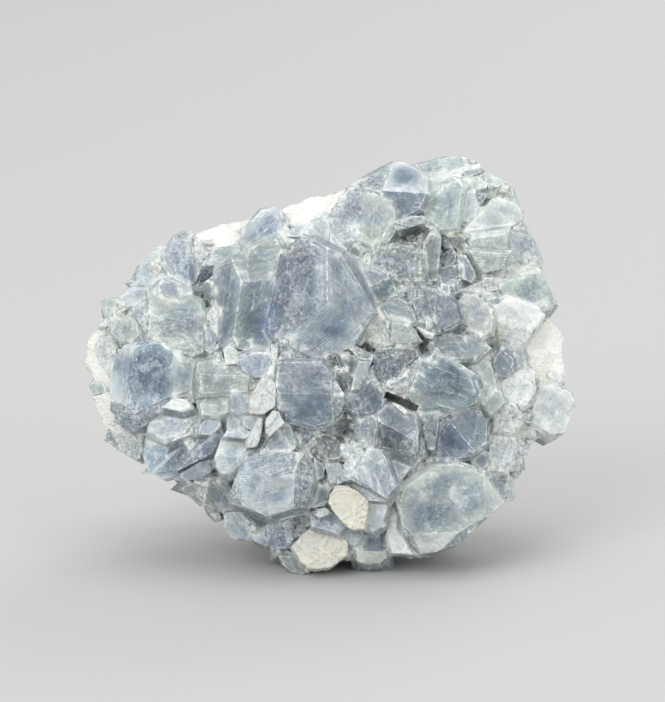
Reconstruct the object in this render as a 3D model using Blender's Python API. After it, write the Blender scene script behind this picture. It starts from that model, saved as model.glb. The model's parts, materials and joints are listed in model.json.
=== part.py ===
# Celestite cluster: blue crystals grown together in one crust on a lump of
# white rock, with a few pale chips lodged between the crystals.
# Metres, +Z up. The face of the cluster looks along -Y.
import math

import bmesh
import bpy
from mathutils import Matrix, Vector, noise

# Driving dimensions
MM = 0.001
LEAN = math.radians(12)      # the drawing plane leans back from the vertical
BASE_V = 4 * MM              # where the floor cuts the drawing plane
BACKWARDS = 17.29 * MM       # from the middle of the object's depth forward to that line
DOME_HEIGHT = 34 * MM        # how far the middle of the crust bulges forward
DOME_HALF_WIDTH = 80 * MM
DOME_HALF_HEIGHT = 70 * MM
DOME_CENTRE_V = 62 * MM
DOME_LOWEST = -8 * MM
CRUST_SINK = 6 * MM          # the crust's own surface below the crystal faces
ROCK_SINK = 15.5 * MM        # the rock's surface below the crystal faces
ROCK_BACK = -44 * MM         # depth of the back of the rock
ROOT = 15 * MM               # length of a crystal behind its front face
LUMP_ROOT = 20 * MM          # the same for the lumps of rock at the rim
PALE_ROOT = 8 * MM           # the same for the loose pale pieces
SIDE_TURN = 84               # degrees from a front face to the sides round it
BLOCK = 120 * MM             # the stuff that each crystal is cut from
CRUST_RINGS = (0.2, 0.4, 0.6, 0.8, 0.92, 0.98)
BED_BACK_RINGS = (0.965, 0.5)
CRUST_GRAIN = 7 * MM         # spacing of the bumps on the crust's own surface
CRUST_ROUGHNESS = 2 * MM
BED_OVERLAP = 3 * MM         # the crust reaches into the rock before its room is cut
ROCK_FRONT_RINGS = (0.55, 0.96)
ROCK_BACK_RINGS = ((0.96, 0.12), (0.92, 0.5), (0.78, 0.82), (0.45, 0.96))  # scale, share of depth
ROCK_GRAIN = 14 * MM
ROCK_ROUGHNESS = 3 * MM
ROCK_FRONT_ROUGHNESS = 1.5 * MM
SLOPE_ALLOWANCE = 1.5        # the front slopes, so its gap is wider along the line of sight
GAP = 0.3 * MM               # between pieces that touch
JOIN = 0.02 * MM             # corners closer than this are one corner

# The rim of the cluster as seen from the front, in mm from the lowest point
RIM = [
    (-16, 5), (-9, 1), (8, 5), (18, 5), (27, 8), (41, 11), (49, 20), (59, 26), (64, 42),
    (77, 50), (79, 57), (75, 76), (71, 84), (73, 90), (66, 110), (62, 120), (57, 128), (48, 135),
    (40, 136.5), (20, 133), (0, 123), (-16, 118.5), (-38, 111.5), (-47, 110.5), (-57, 105),
    (-65, 96), (-76, 79), (-78.5, 71), (-75, 54), (-71, 46), (-55, 33), (-35, 20), (-21, 11),
]
RIM_CENTRE = (0, 68)
ROCK_CENTRE = (0, 34)        # of the rings at the back, low, for a broad foot

# Hollows between the crystals: place in mm, radius and extra depth
HOLLOWS = [
    (-40.5, 90, 5.5, 7), (-31.5, 31, 5, 6), (-9.5, 16.5, 5, 6), (26, 110, 7, 7), (23, 56, 7, 8),
    (3.5, 48, 7, 7), (15, 13, 5, 4), (31, 76, 5, 5), (46, 98, 6, 5), (-42, 71.5, 4, 5),
    (-3, 36, 4, 5), (12, 74, 6, 6), (38, 46, 5, 3),
]

# Crystals of the crust. Each is (rise, yaw, pitch, front face, folded faces): how far
# it stands above the dome in mm, which way its front face looks in degrees, the
# corners of that face as seen from the front in mm, and for each further face
# its fold back from the face it shares an edge with.
UPPER_LEFT = {
    "lavender_tip": (4, -12, 8, [
        (-52.5, 97), (-45.2, 94.2), (-46.5, 112.3), (-50, 111.3), (-53, 107)
    ], [
        (45, [(-45.2, 94.2), (-43.3, 96), (-42.6, 106), (-44.3, 111.6), (-46.5, 112.3)]),
    ]),
    "pale_shoulder": (2, -25, 22, [
        (-65.5, 95.5), (-57, 94.8), (-52.5, 97), (-50, 104.5), (-52.5, 108), (-57.5, 107.3),
        (-63, 101)
    ]),
    "left_shoulder": (2, -30, 30, [
        (-69.8, 89), (-66, 94), (-60, 95.6), (-57.8, 92), (-59, 89), (-66, 88)
    ]),
    "left_tip": (1, -35, 15, [
        (-75, 90.3), (-70, 90.5), (-66, 88), (-64, 85.5), (-70, 83.5), (-74.3, 84)
    ]),
    "grey_saddle": (3, 8, 32, [
        (-56, 95), (-52.5, 97), (-45, 94), (-43.5, 91.5), (-46, 89.3), (-50, 90), (-55, 93)
    ]),
    "banded_block": (5, -5, 8, [
        (-62, 83.5), (-59, 78.5), (-50, 74), (-44, 71.5), (-40.6, 73), (-41, 85)
    ], [
        (30, [
            (-62, 83.5), (-41, 85), (-41.5, 89.3), (-48, 92), (-54, 93.8), (-59, 91.5), (-64, 87)
        ]),
    ]),
    "green_left": (3, -28, 5, [
        (-73, 84), (-65.5, 85.3), (-61.5, 81.5), (-57.5, 77.8), (-63, 76.2), (-68, 77),
        (-71.5, 79.5)
    ]),
    "big_left": (8, -8, 4, [
        (-62.7, 75), (-54.5, 76.5), (-50, 72.5), (-53.5, 57), (-57.5, 54), (-65.5, 54.5)
    ], [
        (35, [(-62.7, 75), (-65.5, 54.5), (-69.5, 57), (-69.7, 70), (-66, 74)]),
        (25, [(-50, 72.5), (-43.2, 69.2), (-43.5, 63), (-48, 58.5), (-53.5, 57)]),
        (35, [(-65.5, 54.5), (-57.5, 54), (-58.5, 50), (-61, 48), (-65, 47.3), (-68.5, 50.5)]),
    ]),
    "rim_left": (0, -30, 5, [
        (-77, 75), (-75, 78.5), (-70.5, 78.8), (-68.8, 75), (-69.5, 67), (-72, 66), (-76, 70)
    ]),
    "small_wedge": (3, -20, 20, [(-69, 74.3), (-66, 73.5), (-65.8, 70), (-68.5, 69.3)]),
    "rim_green": (0, -35, 0, [(-78.6, 62), (-76.5, 64.5), (-73, 62), (-72, 58.5), (-76, 57.5)]),
    "white_step": (2, -15, 5, [(-71.8, 73.5), (-69.5, 74), (-68.8, 66), (-70.2, 64.5)]),
}
LOWER_LEFT = {
    "icy_rim": (1, -20, -12, [
        (-73.5, 44.3), (-72, 47.8), (-66, 48), (-61, 47), (-60, 42), (-61.5, 37.2), (-66, 39.7),
        (-70, 42)
    ]),
    "low_lavender": (3, -10, -5, [
        (-60.3, 39), (-59, 34.6), (-54, 31.8), (-48, 33.5), (-43.5, 38.5), (-46, 42), (-51, 45),
        (-57, 43.5)
    ]),
    "frosted_slab": (4, -12, 20, [
        (-59, 47.5), (-58.5, 52), (-55, 54.8), (-46, 54.5), (-40, 51.5), (-46, 47), (-53, 45)
    ]),
    "white_bit_a": (3.5, -20, 10, [(-60, 44), (-59, 46), (-56, 46), (-54.5, 44), (-57, 42)]),
    "white_bit_b": (3.5, 0, 10, [(-47, 44), (-44.5, 45.5), (-42.5, 43.5), (-41.5, 41), (-44, 40)]),
    "white_ridge": (6.5, -5, 25, [(-54, 55.3), (-50, 58.3), (-45, 57.8), (-43, 55), (-47, 54)]),
    "white_streak": (5.5, 0, 20, [(-50.5, 44.3), (-49.5, 45.8), (-44, 48), (-43.5, 46.8)]),
    "blue_diagonal": (4.5, 18, -12, [
        (-48.5, 35), (-42.5, 38), (-37.3, 40.5), (-34.7, 46), (-33, 49.8), (-36, 48), (-42, 42.5)
    ]),
    "pale_under": (3, 5, -25, [
        (-48.5, 33.5), (-42, 37.5), (-37.5, 38.5), (-37, 35.5), (-41, 32), (-47, 31.5)
    ]),
    "pale_knob": (5.5, 5, 10, [
        (-41.5, 49.5), (-38.5, 52.8), (-35.3, 52.8), (-34.3, 49.3), (-38, 46.3), (-42, 46.8)
    ]),
    "green_wedge": (5, -5, 12, [
        (-41.5, 57), (-38, 60), (-32, 60), (-30.5, 57), (-31.5, 54.5), (-36, 52.5), (-40.5, 53)
    ]),
    "grey_wedge": (5, 5, 0, [
        (-30.5, 61.5), (-26, 60.8), (-24.6, 60), (-25.3, 55), (-28, 52.8), (-31.3, 54.5)
    ]),
    "banded_lens": (6, -5, 30, [(-42, 70), (-34, 71), (-29, 69.5), (-24.5, 65.3), (-42.5, 66)], [
        (35, [(-42.5, 66), (-24.5, 65.3), (-23, 62.5), (-25.5, 60.5), (-41.8, 60)]),
    ]),
    "white_block": (6, -6, 4, [
        (-37.3, 37.5), (-35.5, 42), (-25, 41.3), (-27.5, 36), (-29.3, 34.7), (-33, 33.3),
        (-36.3, 35.5)
    ], [
        (30, [(-35.5, 42), (-34.5, 45.5), (-27, 45.5), (-23.5, 43), (-25, 41.3)]),
    ]),
    "pale_back_a": (5, -5, 15, [(-34, 46), (-31.5, 50.5), (-28.5, 50), (-24.5, 47), (-27, 45.3)]),
    "pale_back_b": (4.5, -5, 10, [
        (-33, 49.5), (-31.5, 53.5), (-28, 52.5), (-28.5, 49.5), (-32, 47)
    ]),
    "pale_back_c": (4, 5, 10, [(-28, 52.5), (-22, 53), (-21.5, 50), (-24, 47.5), (-28.5, 50)]),
    "left_foot_a": (0, -15, -20, [
        (-48, 28.8), (-43.5, 31.3), (-40.7, 27), (-40.5, 23), (-42, 23.5)
    ]),
    "left_foot_b": (1, -8, -15, [
        (-41, 27), (-38.3, 31), (-34.5, 31.5), (-30.7, 26.5), (-29, 25), (-30, 22), (-36, 21.5),
        (-40, 22.8)
    ]),
    "left_foot_c": (0, -12, -20, [
        (-40.5, 23), (-36, 21.7), (-35, 18.6), (-36.5, 18.2), (-38.2, 20)
    ]),
    "left_foot_d": (1.5, -8, -10, [
        (-34.3, 21), (-29.5, 22), (-27.3, 18.7), (-23.5, 14.5), (-25, 12), (-29.5, 11.8), (-32, 13),
        (-34, 16.5)
    ]),
    "left_foot_e": (0, -5, 15, [
        (-48, 31.8), (-44, 33), (-38, 33), (-34, 32.2), (-33.8, 30.5), (-40, 29.5)
    ]),
}
MIDDLE = {
    "yellow_block": (7, -5, 10, [
        (-34, 74.3), (-31.3, 75.3), (-28.5, 72.8), (-28.5, 69.5), (-33, 69)
    ]),
    "grey_bit": (6, 0, 0, [(-36.7, 73), (-34.5, 73), (-33.5, 70), (-36, 69.7)]),
    "lavender_lens": (7, -3, -10, [
        (-29, 72), (-25, 73.2), (-20, 72.8), (-18.4, 71), (-18.6, 68), (-21, 65), (-24, 64.8),
        (-27.5, 67.5)
    ]),
    "cream_seam": (6, 0, 0, [
        (-18.6, 75.8), (-16.4, 75.5), (-16.3, 73.5), (-17.4, 65.5), (-18.4, 65.5)
    ]),
    "pocket_prism": (0, 0, 5, [
        (-40.5, 83), (-37.5, 81.5), (-36, 77), (-37.5, 73.2), (-39.6, 74.8)
    ]),
    "granular_strip": (2, -5, 5, [
        (-39.8, 84.5), (-37.5, 88), (-35.5, 90), (-34.3, 84), (-33.8, 76), (-36, 77.5)
    ]),
    "tilted_band": (3, -5, 38, [
        (-41.5, 100.8), (-38.5, 106), (-31, 107.8), (-27.5, 106.3), (-25.8, 104.9), (-34, 101.6)
    ]),
    "white_seam": (2, 5, 10, [(-44, 111), (-42.8, 97), (-40.5, 100.8), (-38.7, 106)]),
    "tall_block": (6, -3, -2, [
        (-28, 95.5), (-30.6, 79), (-28.5, 74), (-19.5, 73.5), (-12, 90), (-13.5, 97)
    ], [
        (35, [(-28, 95.5), (-13.5, 97), (-14.3, 104), (-17, 109.3), (-24.5, 105.3)]),
        (48, [
            (-28, 95.5), (-30.6, 79), (-34.2, 75), (-35, 84), (-36.7, 94), (-36.3, 100.5),
            (-31, 102.5)
        ]),
    ]),
    "white_plate_top": (8, -10, 20, [
        (-26.5, 103.8), (-24.8, 102), (-26.5, 96.5), (-28, 96), (-28.8, 98.5)
    ]),
    "great_prism": (12, -19, 2, [
        (-0.8, 105.2), (-0.4, 88.8), (-16, 75.6), (-19.6, 80), (-14.3, 105.5), (-9, 109.8)
    ], [
        (40, [(-0.8, 105.2), (3, 103.5), (7.5, 96), (13.2, 85.7), (7, 77.2), (-0.4, 88.8)]),
        (33, [(-0.4, 88.8), (7, 77.2), (-2.3, 71.5), (-7, 70), (-15, 73.8), (-16, 75.6)]),
    ]),
    "low_prism": (6, 2, 10, [(-16, 69.7), (-2.5, 70), (2, 64.5), (5, 59.5), (-17, 60)], [
        (30, [(-17, 60), (5, 59.5), (3.8, 54), (1, 51), (-5, 49.5), (-12, 51.5), (-16.5, 55.5)]),
    ]),
    "slate_prism": (2, -12, 0, [(-2.5, 70.5), (-0.5, 72.8), (2, 72.8), (6.8, 60.8), (5, 60.5)], [
        (30, [(2, 72.8), (9.5, 71.8), (9.8, 69), (8, 64.5), (6.8, 60.8)]),
    ]),
    "light_ridge": (3, 20, 0, [
        (10, 70.3), (14, 70.3), (11.5, 66.3), (9, 61), (7, 60.7), (8.3, 66)
    ]),
    "streaked_roof": (2, 10, 20, [(4.8, 75.8), (6.5, 76), (14.3, 72.3), (14, 70.3), (10, 70.8)]),
    "teal_gap": (-1, 0, 0, [(7.5, 77.5), (12.8, 84.5), (12.5, 77), (10, 75)]),
    "cream_knob": (1, 0, 5, [
        (12.6, 84), (16, 85.3), (18.3, 83.5), (19.3, 79), (19, 75.2), (16.3, 74.5), (13, 77),
        (12.4, 80)
    ]),
    "cracked_blue": (2, 0, 5, [
        (5.5, 57), (9, 61.5), (14.5, 69.5), (17.4, 57), (17, 54.7), (10, 53), (5.7, 55)
    ]),
    "speckled_prism": (4, -10, 8, [
        (15, 74), (19.5, 74.8), (24, 74.5), (24.5, 66.5), (20, 61.5), (16, 63.5)
    ], [
        (30, [(24, 74.5), (28, 74), (29.6, 71), (27, 64), (24.5, 66.5)]),
    ]),
    "beige_sill": (4.5, 0, -15, [
        (16, 61.3), (20, 64), (25, 65.5), (26.3, 62.3), (25, 59.8), (18.5, 59.2)
    ]),
    "beige_block": (4.5, 3, -5, [
        (18, 83.3), (25, 81.6), (28.3, 77), (25.8, 76), (20.5, 76.3), (19, 79)
    ]),
    "grey_cap": (3, 0, 25, [
        (15.8, 86), (18, 89.8), (22.5, 90.5), (26.5, 88), (28.3, 83.2), (25, 82.3), (18.3, 84.2)
    ]),
    "white_chip_line": (5, 0, 10, [(27.8, 81.5), (34, 79), (33.3, 77.3), (31, 78)]),
    "sparkling_prism": (5, -8, 4, [
        (26, 94.5), (31, 94.2), (34, 93.2), (37, 80), (34.5, 79.8), (28.7, 83.5), (27, 88)
    ], [
        (24, [(34, 93.2), (36, 92.3), (41, 88.5), (42.3, 82.5), (39.5, 80.3), (37, 80)]),
    ]),
    "grey_strip": (3, 15, 5, [(40.8, 88.5), (42.5, 90.5), (43.6, 82), (42, 81), (40.5, 84)]),
    "under_ledge": (0, 0, 15, [(3, 104), (12.5, 103.5), (11, 100.7), (6, 100)]),
    "slate_roof": (2, 5, 10, [
        (6.5, 100.3), (11.5, 100.5), (19.8, 97.2), (16, 95), (12, 92.5), (9.5, 92)
    ]),
    "teal_roof": (1, 8, 0, [
        (10.3, 91), (13, 94.5), (19.5, 97), (22, 94), (22.6, 91.2), (12.5, 88)
    ]),
}
TOP = {
    "icy_crown": (3, -12, 20, [
        (-28.4, 108.8), (-26, 105.5), (-17, 109.8), (-14.8, 112), (-15.3, 119), (-18, 120.2),
        (-22, 119.3), (-25, 116)
    ]),
    "small_crown_a": (2, -5, 25, [(-14.3, 110.5), (-12, 114), (-6, 115), (-8.8, 110.3)]),
    "small_crown_b": (3, -5, 20, [
        (-9, 110.5), (-5, 115), (-1, 116.3), (0.8, 112.5), (-0.8, 107.5), (-5, 109)
    ]),
    "small_crown_c": (3, 5, 0, [(0.5, 112), (6, 106.3), (3, 104), (0, 105.5)]),
    "white_corner": (5, 0, 20, [(-16, 109.5), (-14.3, 110.3), (-10.5, 109.5), (-14.3, 105.5)]),
    "green_crown": (4, -15, 12, [
        (0.5, 112), (0.5, 118.5), (7, 126), (11.5, 126.5), (10, 109.5), (3, 109)
    ], [
        (28, [(11.5, 126.5), (16, 125), (20.2, 118.5), (20.3, 113), (16, 109), (10, 109.5)]),
        (40, [(3, 109), (10, 109.5), (14, 106.5), (10, 104.8), (6, 105)]),
    ]),
    "top_dome": (5, 5, 0, [
        (12.5, 122.5), (16.5, 125.6), (31.8, 124.8), (29.5, 120), (24, 116.3), (20.2, 115.6)
    ], [
        (38, [
            (16.5, 125.6), (31.8, 124.8), (32, 128.5), (29, 132.5), (25, 135), (21.5, 135.2),
            (14.5, 131)
        ]),
    ]),
    "top_left_cap": (1, -10, 40, [(7, 127.5), (10, 129.5), (15.5, 132), (16.8, 126), (12.3, 123)]),
    "arch_a": (4, -5, 10, [(14.5, 107.5), (20, 114.8), (22, 113), (18.2, 106.8)]),
    "arch_b": (5, 0, 15, [
        (20, 114.8), (25, 117.4), (31, 117.4), (31, 115), (25, 113.6), (21.5, 112.5)
    ]),
    "arch_c": (4.5, 10, 15, [(31, 117.4), (36.8, 113), (35.2, 112), (31, 114)]),
    "speckled_roof": (2, 0, 8, [
        (13, 104.5), (15.5, 106.8), (25, 107), (29.5, 107.5), (29.8, 96.5), (24, 95.3), (20.5, 97),
        (12.5, 100.8)
    ]),
    "narrow_prism": (5, 6, 0, [
        (30.5, 108.5), (33, 112.5), (34.5, 113), (36.5, 110), (36, 105), (35, 95.5), (30.5, 95.5)
    ]),
    "ledge_a": (-1, 0, 25, [
        (28.5, 134.7), (37, 137), (40, 137.6), (45, 137.5), (48.7, 136), (46, 134), (31.3, 130.3)
    ]),
    "ledge_b": (0.5, 0, 15, [(31.5, 131.4), (49.5, 135.4), (50.2, 134), (32.3, 127.8)]),
    "ledge_c": (2, 0, 15, [(32.2, 129), (50, 134.2), (50.8, 132.6), (44, 130), (32.5, 125.7)]),
    "pale_summit": (1, 15, 28, [
        (44, 130), (50.5, 132.7), (57, 130), (60.4, 127), (61.7, 122), (42.7, 125.6)
    ]),
    "grey_summit": (3, -5, 8, [
        (32.5, 125.6), (43, 129.7), (43.8, 128), (41.5, 113.3), (36, 113), (31, 117.3), (30, 120.2)
    ]),
    "blue_summit": (3, 8, 5, [
        (42.8, 125.4), (52, 125.2), (50, 121), (45, 115.5), (42, 114), (41.5, 119)
    ]),
    "white_shoulder": (4, 12, 15, [
        (45, 115.5), (50, 120.8), (57, 123.5), (61.7, 121.5), (64, 119.5), (63.8, 115.5),
        (58, 111.8), (45, 110.4), (44.4, 113)
    ]),
    "right_shoulder": (1, 30, 5, [
        (58, 111.5), (62, 116), (64.5, 115), (67, 112), (69.5, 105.5), (70.3, 100.3), (65, 101),
        (59.5, 103.5), (57.8, 107.5)
    ]),
    "pale_under_white": (4.5, 10, -15, [
        (45.5, 110), (57.8, 111.5), (58, 106.5), (54, 105), (46, 106.5)
    ]),
    "feathered_green": (3, 8, -10, [
        (46, 105.8), (58, 105), (56.5, 100.5), (53.5, 98.5), (50, 99.5)
    ]),
    "olive_hollow": (0, 0, 0, [
        (38, 111.3), (44.4, 110.3), (45.6, 106.7), (44.5, 105), (42, 106), (39.7, 109)
    ]),
    "hollow_bit_a": (0, -10, 10, [
        (36.5, 104.5), (40, 107), (41.5, 105), (40.5, 101.5), (37, 101.5)
    ]),
    "hollow_bit_b": (0, 5, 10, [
        (41.5, 104.5), (44.5, 104.8), (48, 98), (46.5, 95.5), (43, 97)
    ]),
    "hollow_bit_c": (-1, 0, 20, [
        (35.3, 99.5), (38, 101.5), (42, 101), (43, 98.5), (40, 96), (36, 96)
    ]),
}
RIGHT = {
    "green_spur": (2, 25, 10, [
        (55, 93.7), (57, 96), (69.5, 99), (72.3, 94), (74.3, 90), (73.3, 88), (68, 87.5), (60, 90.5)
    ]),
    "cream_rim": (2, 20, 25, [
        (54.5, 97.8), (58, 101), (65, 101.5), (70.2, 100), (69, 98.8), (62, 97.5)
    ]),
    "white_green": (6, 8, 6, [
        (51, 87.5), (53, 90.5), (57, 90.8), (67, 87.2), (69, 85), (67, 80), (53, 82.5)
    ], [
        (30, [(53, 82.5), (67, 80), (63, 75.7), (58, 73.9), (52, 75.5), (50.9, 78)]),
    ]),
    "lavender_beige": (4, -5, 8, [
        (42.6, 90.5), (45, 92.7), (49, 92.2), (51.3, 89.5), (53, 84), (52.3, 79.5), (49, 78.2),
        (44, 82)
    ]),
    "yellow_sill": (1, 5, 25, [(43, 93.5), (47, 95.3), (54, 97), (55, 93.5), (50, 92.2)]),
    "brown_crust": (2, 0, 0, [(41, 79.5), (44, 81.5), (50, 78), (51.3, 75.7), (49, 74), (44, 77)]),
    "teal_band": (4, 5, 22, [
        (33, 78), (40, 79.3), (46, 77.5), (50.5, 74.5), (47, 71.3), (40, 71.2), (34, 72),
        (31.5, 74.5)
    ]),
    "deep_teal": (7, 6, -3, [
        (29.5, 70.2), (45.5, 64), (48.3, 57.5), (45, 55.7), (31, 59.4), (26.6, 62.5)
    ], [
        (35, [(29.5, 70.2), (33, 72), (40, 70.8), (46.5, 66.5), (45.5, 64)]),
        (25, [(26.6, 62.5), (31, 59.4), (29.8, 55.3), (28, 54.5), (25.2, 59.3)]),
    ]),
    "pale_lobe_a": (3, 15, 5, [
        (45, 71), (51, 70.8), (54.3, 66), (54.8, 61.5), (49.3, 57), (46.3, 64)
    ]),
    "pale_lobe_b": (4, 12, -12, [
        (49.3, 57), (54.8, 61.5), (57, 58), (55.7, 54.2), (52, 53), (50, 55)
    ]),
    "white_bit_c": (2, 10, 15, [(45.5, 73.5), (50, 74.3), (52.5, 71), (50, 69.3), (46, 70.5)]),
    "slot_sill": (5, 0, 25, [
        (8.6, 55.2), (17, 56.8), (28, 53.3), (28.9, 48), (26.6, 45.3), (15.5, 51.2)
    ], [
        (30, [(15.5, 51.2), (26.6, 45.3), (26.3, 41), (20, 42)]),
        (32, [(8.6, 55.2), (15.5, 51.2), (20, 42), (15, 43.7), (10, 44.6), (8.3, 48)]),
    ]),
    "slot_chip": (6, 0, 20, [(20.2, 56.6), (21.5, 57.4), (25.4, 54), (24.5, 53)]),
    "grey_upright": (4, -8, 3, [
        (31, 58.5), (35, 56), (35.2, 50), (33.8, 41.5), (31.7, 42), (31, 47.5), (29.5, 54)
    ]),
    "striped_wedge": (3, -5, 0, [(29.3, 47.3), (31, 46.5), (31.2, 39.5), (27.2, 36), (28.3, 41)]),
    "blue_prism": (6, 18, 5, [
        (38.3, 51.4), (41, 55.7), (47.5, 55.2), (51, 51), (50.6, 42.5), (47.7, 40.2)
    ], [
        (38, [(38.3, 51.4), (47.7, 40.2), (41, 38.8), (34.2, 41), (35.2, 50)]),
        (30, [(35.6, 56), (41, 55.7), (38.3, 51.4), (35.2, 50)]),
    ]),
    "pale_flank": (2, 12, 3, [
        (51.3, 42), (51.8, 51), (60, 47), (61.5, 44.5), (57.5, 34.3), (52, 35)
    ]),
    "step_a": (1, 25, 5, [
        (58.3, 39.5), (59.8, 44), (61.7, 45.3), (63, 44.7), (65.2, 41.2), (64, 39.6), (61, 39)
    ]),
    "step_b": (1, 25, 0, [(57.5, 34.2), (57.8, 39.5), (61.7, 39.3), (62.4, 35.3), (62, 34.2)]),
    "grey_flank": (3, 5, 0, [(45, 36.8), (47, 40.3), (50.5, 42), (51.5, 35.5), (49, 34.7)]),
    "right_paddle": (4, 12, 5, [
        (66, 57), (68.3, 61.8), (74, 62), (80, 59.5), (80, 54.6), (76.8, 46.8), (74, 45.5),
        (65.5, 50.5)
    ]),
    "slate_bit_a": (3, 5, 5, [(63.2, 53.5), (65, 54.7), (66.8, 53), (65.7, 50), (63, 50.3)]),
    "grey_notch": (0, 10, -10, [(62.5, 48), (66, 49.5), (68, 48.4), (65.5, 46.4), (63.2, 44.7)]),
    "white_crust": (2, 10, 10, [
        (55, 63.5), (57.5, 65.5), (63, 67), (68, 62.3), (66.3, 57.3), (63, 55.3), (58, 57.7),
        (55.2, 61)
    ]),
    "cream_crust": (3, 5, 0, [
        (53.5, 51), (57, 55.5), (59.5, 57), (62.5, 55), (61.8, 50), (59, 47.2), (53.3, 47.6)
    ]),
    "slate_knob": (3, 0, 0, [
        (53.7, 71.5), (56, 73.8), (59.6, 70.7), (59.7, 67), (57.5, 65), (54.8, 65.4), (53.3, 68)
    ]),
    "grey_bit_b": (2, 10, 0, [(59.8, 73), (62, 74.3), (63.3, 68.5), (60.3, 67.5)]),
}
BOTTOM = {
    "great_slab": (9, 5, 2, [
        (24.8, 29.8), (36.3, 37.3), (42, 38), (50, 34.5), (50.3, 20.5), (43.5, 15), (25.5, 14.6),
        (22.3, 22)
    ], [
        (45, [(24.8, 29.8), (36.3, 37.3), (35.5, 39.7), (23, 31)]),
        (42, [(25.5, 14.6), (43.5, 15), (41.4, 11), (35, 8.6), (26.3, 7.3)]),
        (35, [(50, 34.5), (50.3, 20.5), (52, 20.4), (56.5, 24.2), (57.2, 28), (55.5, 32.8)]),
    ]),
    "slab_flank": (5, -15, 0, [
        (18.3, 16.5), (19, 25.5), (22.2, 26), (25.3, 15), (26.3, 7.8), (20.6, 8), (19.7, 11)
    ]),
    "right_foot": (1, 20, 0, [
        (55.5, 32.7), (59.4, 34), (60.8, 26.7), (59, 24.5), (56.6, 24.1), (55, 28)
    ]),
    "feathered_prism": (9, -5, 14, [
        (-29.5, 31), (-25.5, 39.8), (-19, 41.3), (-11, 41.2), (-9.8, 35)
    ], [
        (32, [
            (-29.5, 31), (-9.8, 35), (-6.5, 28.5), (-9, 25.3), (-13, 24), (-19.5, 21.8),
            (-28, 25.5), (-30.5, 26.5)
        ]),
        (40, [(-9.8, 35), (-11, 41.2), (-6.8, 40.3), (-5, 37), (-4.9, 32), (-6.5, 28.5)]),
    ]),
    "grey_wing": (5, 0, 15, [
        (-22.5, 42), (-20, 45), (-16, 46.8), (-13.7, 44.3), (-11.5, 41), (-20, 40.8)
    ]),
    "teal_upright": (3, 10, 0, [
        (-15.5, 50.5), (-13, 51.5), (-11, 46), (-10.5, 42.5), (-12, 41), (-14, 45)
    ]),
    "dark_side": (0, 15, 0, [(-5, 40), (-2.5, 40.2), (-0.8, 37.3), (-1.8, 33), (-4.5, 31.3)]),
    "grey_side": (2, 5, 0, [(-5, 30.8), (-1.2, 30.3), (-1.2, 25), (-4, 22.7), (-9.3, 24)]),
    "brown_prism": (0, -5, 10, [
        (-5, 47.5), (0, 46.8), (4.5, 43.5), (4.3, 39.5), (-1, 38.3), (-5.3, 41.3)
    ]),
    "sparkle_bit": (-1, 0, 10, [(-10.3, 48.5), (-6, 50), (-3, 49.3), (-5.2, 43.5), (-9.3, 43)]),
    "pink_grey": (1, 0, 0, [(-1.5, 37.5), (2, 38.8), (4.6, 37), (3.5, 31), (0.3, 30.7)]),
    "grooved_prism": (7, -3, 3, [
        (7, 32.2), (9.3, 38.3), (12, 42), (15, 43), (18, 39.5), (21.5, 29.5), (19, 26), (11, 30.3)
    ]),
    "pale_blue_side": (4, -20, 8, [
        (2.5, 30.7), (4, 36), (7, 40.3), (11, 42), (9.3, 38), (6.9, 32.3)
    ]),
    "grooved_sill": (4.5, 0, 15, [
        (7.5, 30.7), (12, 30.2), (17.5, 28), (18.5, 25), (12.3, 25.4), (9, 28)
    ]),
    "pale_column": (5, 0, -5, [
        (12.3, 25.4), (16.5, 28), (19.2, 25.5), (19, 20), (18.3, 17), (15.5, 15), (12, 16.6),
        (11.8, 21)
    ]),
    "grey_triangle": (4, 10, 5, [
        (18.7, 39), (25.5, 40.5), (26.5, 36), (24, 33.5), (22, 31), (20, 34)
    ]),
    "dark_foot": (3, 0, 20, [(7.8, 9), (11.3, 15.5), (18.2, 16), (19.9, 10.3), (18.3, 8.5)], [
        (45, [(7.8, 9), (18.3, 8.5), (18.5, 6.2), (16.5, 4.6), (13, 4.3), (9.5, 5), (8, 6.5)]),
    ]),
    "lavender_low": (3.5, -3, 12, [(-8, 21.3), (2.7, 21.2), (5.5, 17.5), (3, 14.6), (-6, 17.2)]),
    "grey_low": (3, 5, 0, [(5.5, 17.5), (11, 16.2), (11.2, 13), (8, 10.3), (6.3, 11.5), (3, 14.6)]),
    "white_flake": (5, 0, 15, [(-5.5, 21.4), (-4, 22.6), (-1, 23), (1, 21.4), (-3, 19.7)]),
    "teal_under": (2, -5, -8, [
        (-28.6, 24.3), (-17, 21.8), (-16.5, 18), (-20, 16.3), (-25, 17.5), (-27.7, 20)
    ]),
    "slate_under": (1.5, 0, 5, [
        (-17, 21.8), (-12, 24), (-9.5, 23.8), (-8.3, 22), (-11, 20), (-16.5, 18.5)
    ]),
    "lavender_under": (3, 0, -5, [
        (-20, 16.6), (-16.5, 19.6), (-12, 19.6), (-11.2, 15), (-12.3, 10), (-15, 9), (-19, 10.5)
    ]),
    "foot_a": (2, -10, -10, [(-24.6, 12), (-23.5, 16), (-20, 16.3), (-19.3, 11), (-20.5, 10)]),
    "foot_b": (2, -5, -10, [(-19.3, 10.7), (-18, 6), (-16.6, 6.7), (-14.5, 8.8)]),
    "lowest_foot": (6, -5, -10, [
        (-16.5, 7), (-13.5, 9), (-11, 7.2), (-5, 3), (-7.5, 0.3), (-9.3, 0), (-12, 1.5), (-15, 4)
    ]),
}

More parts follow.
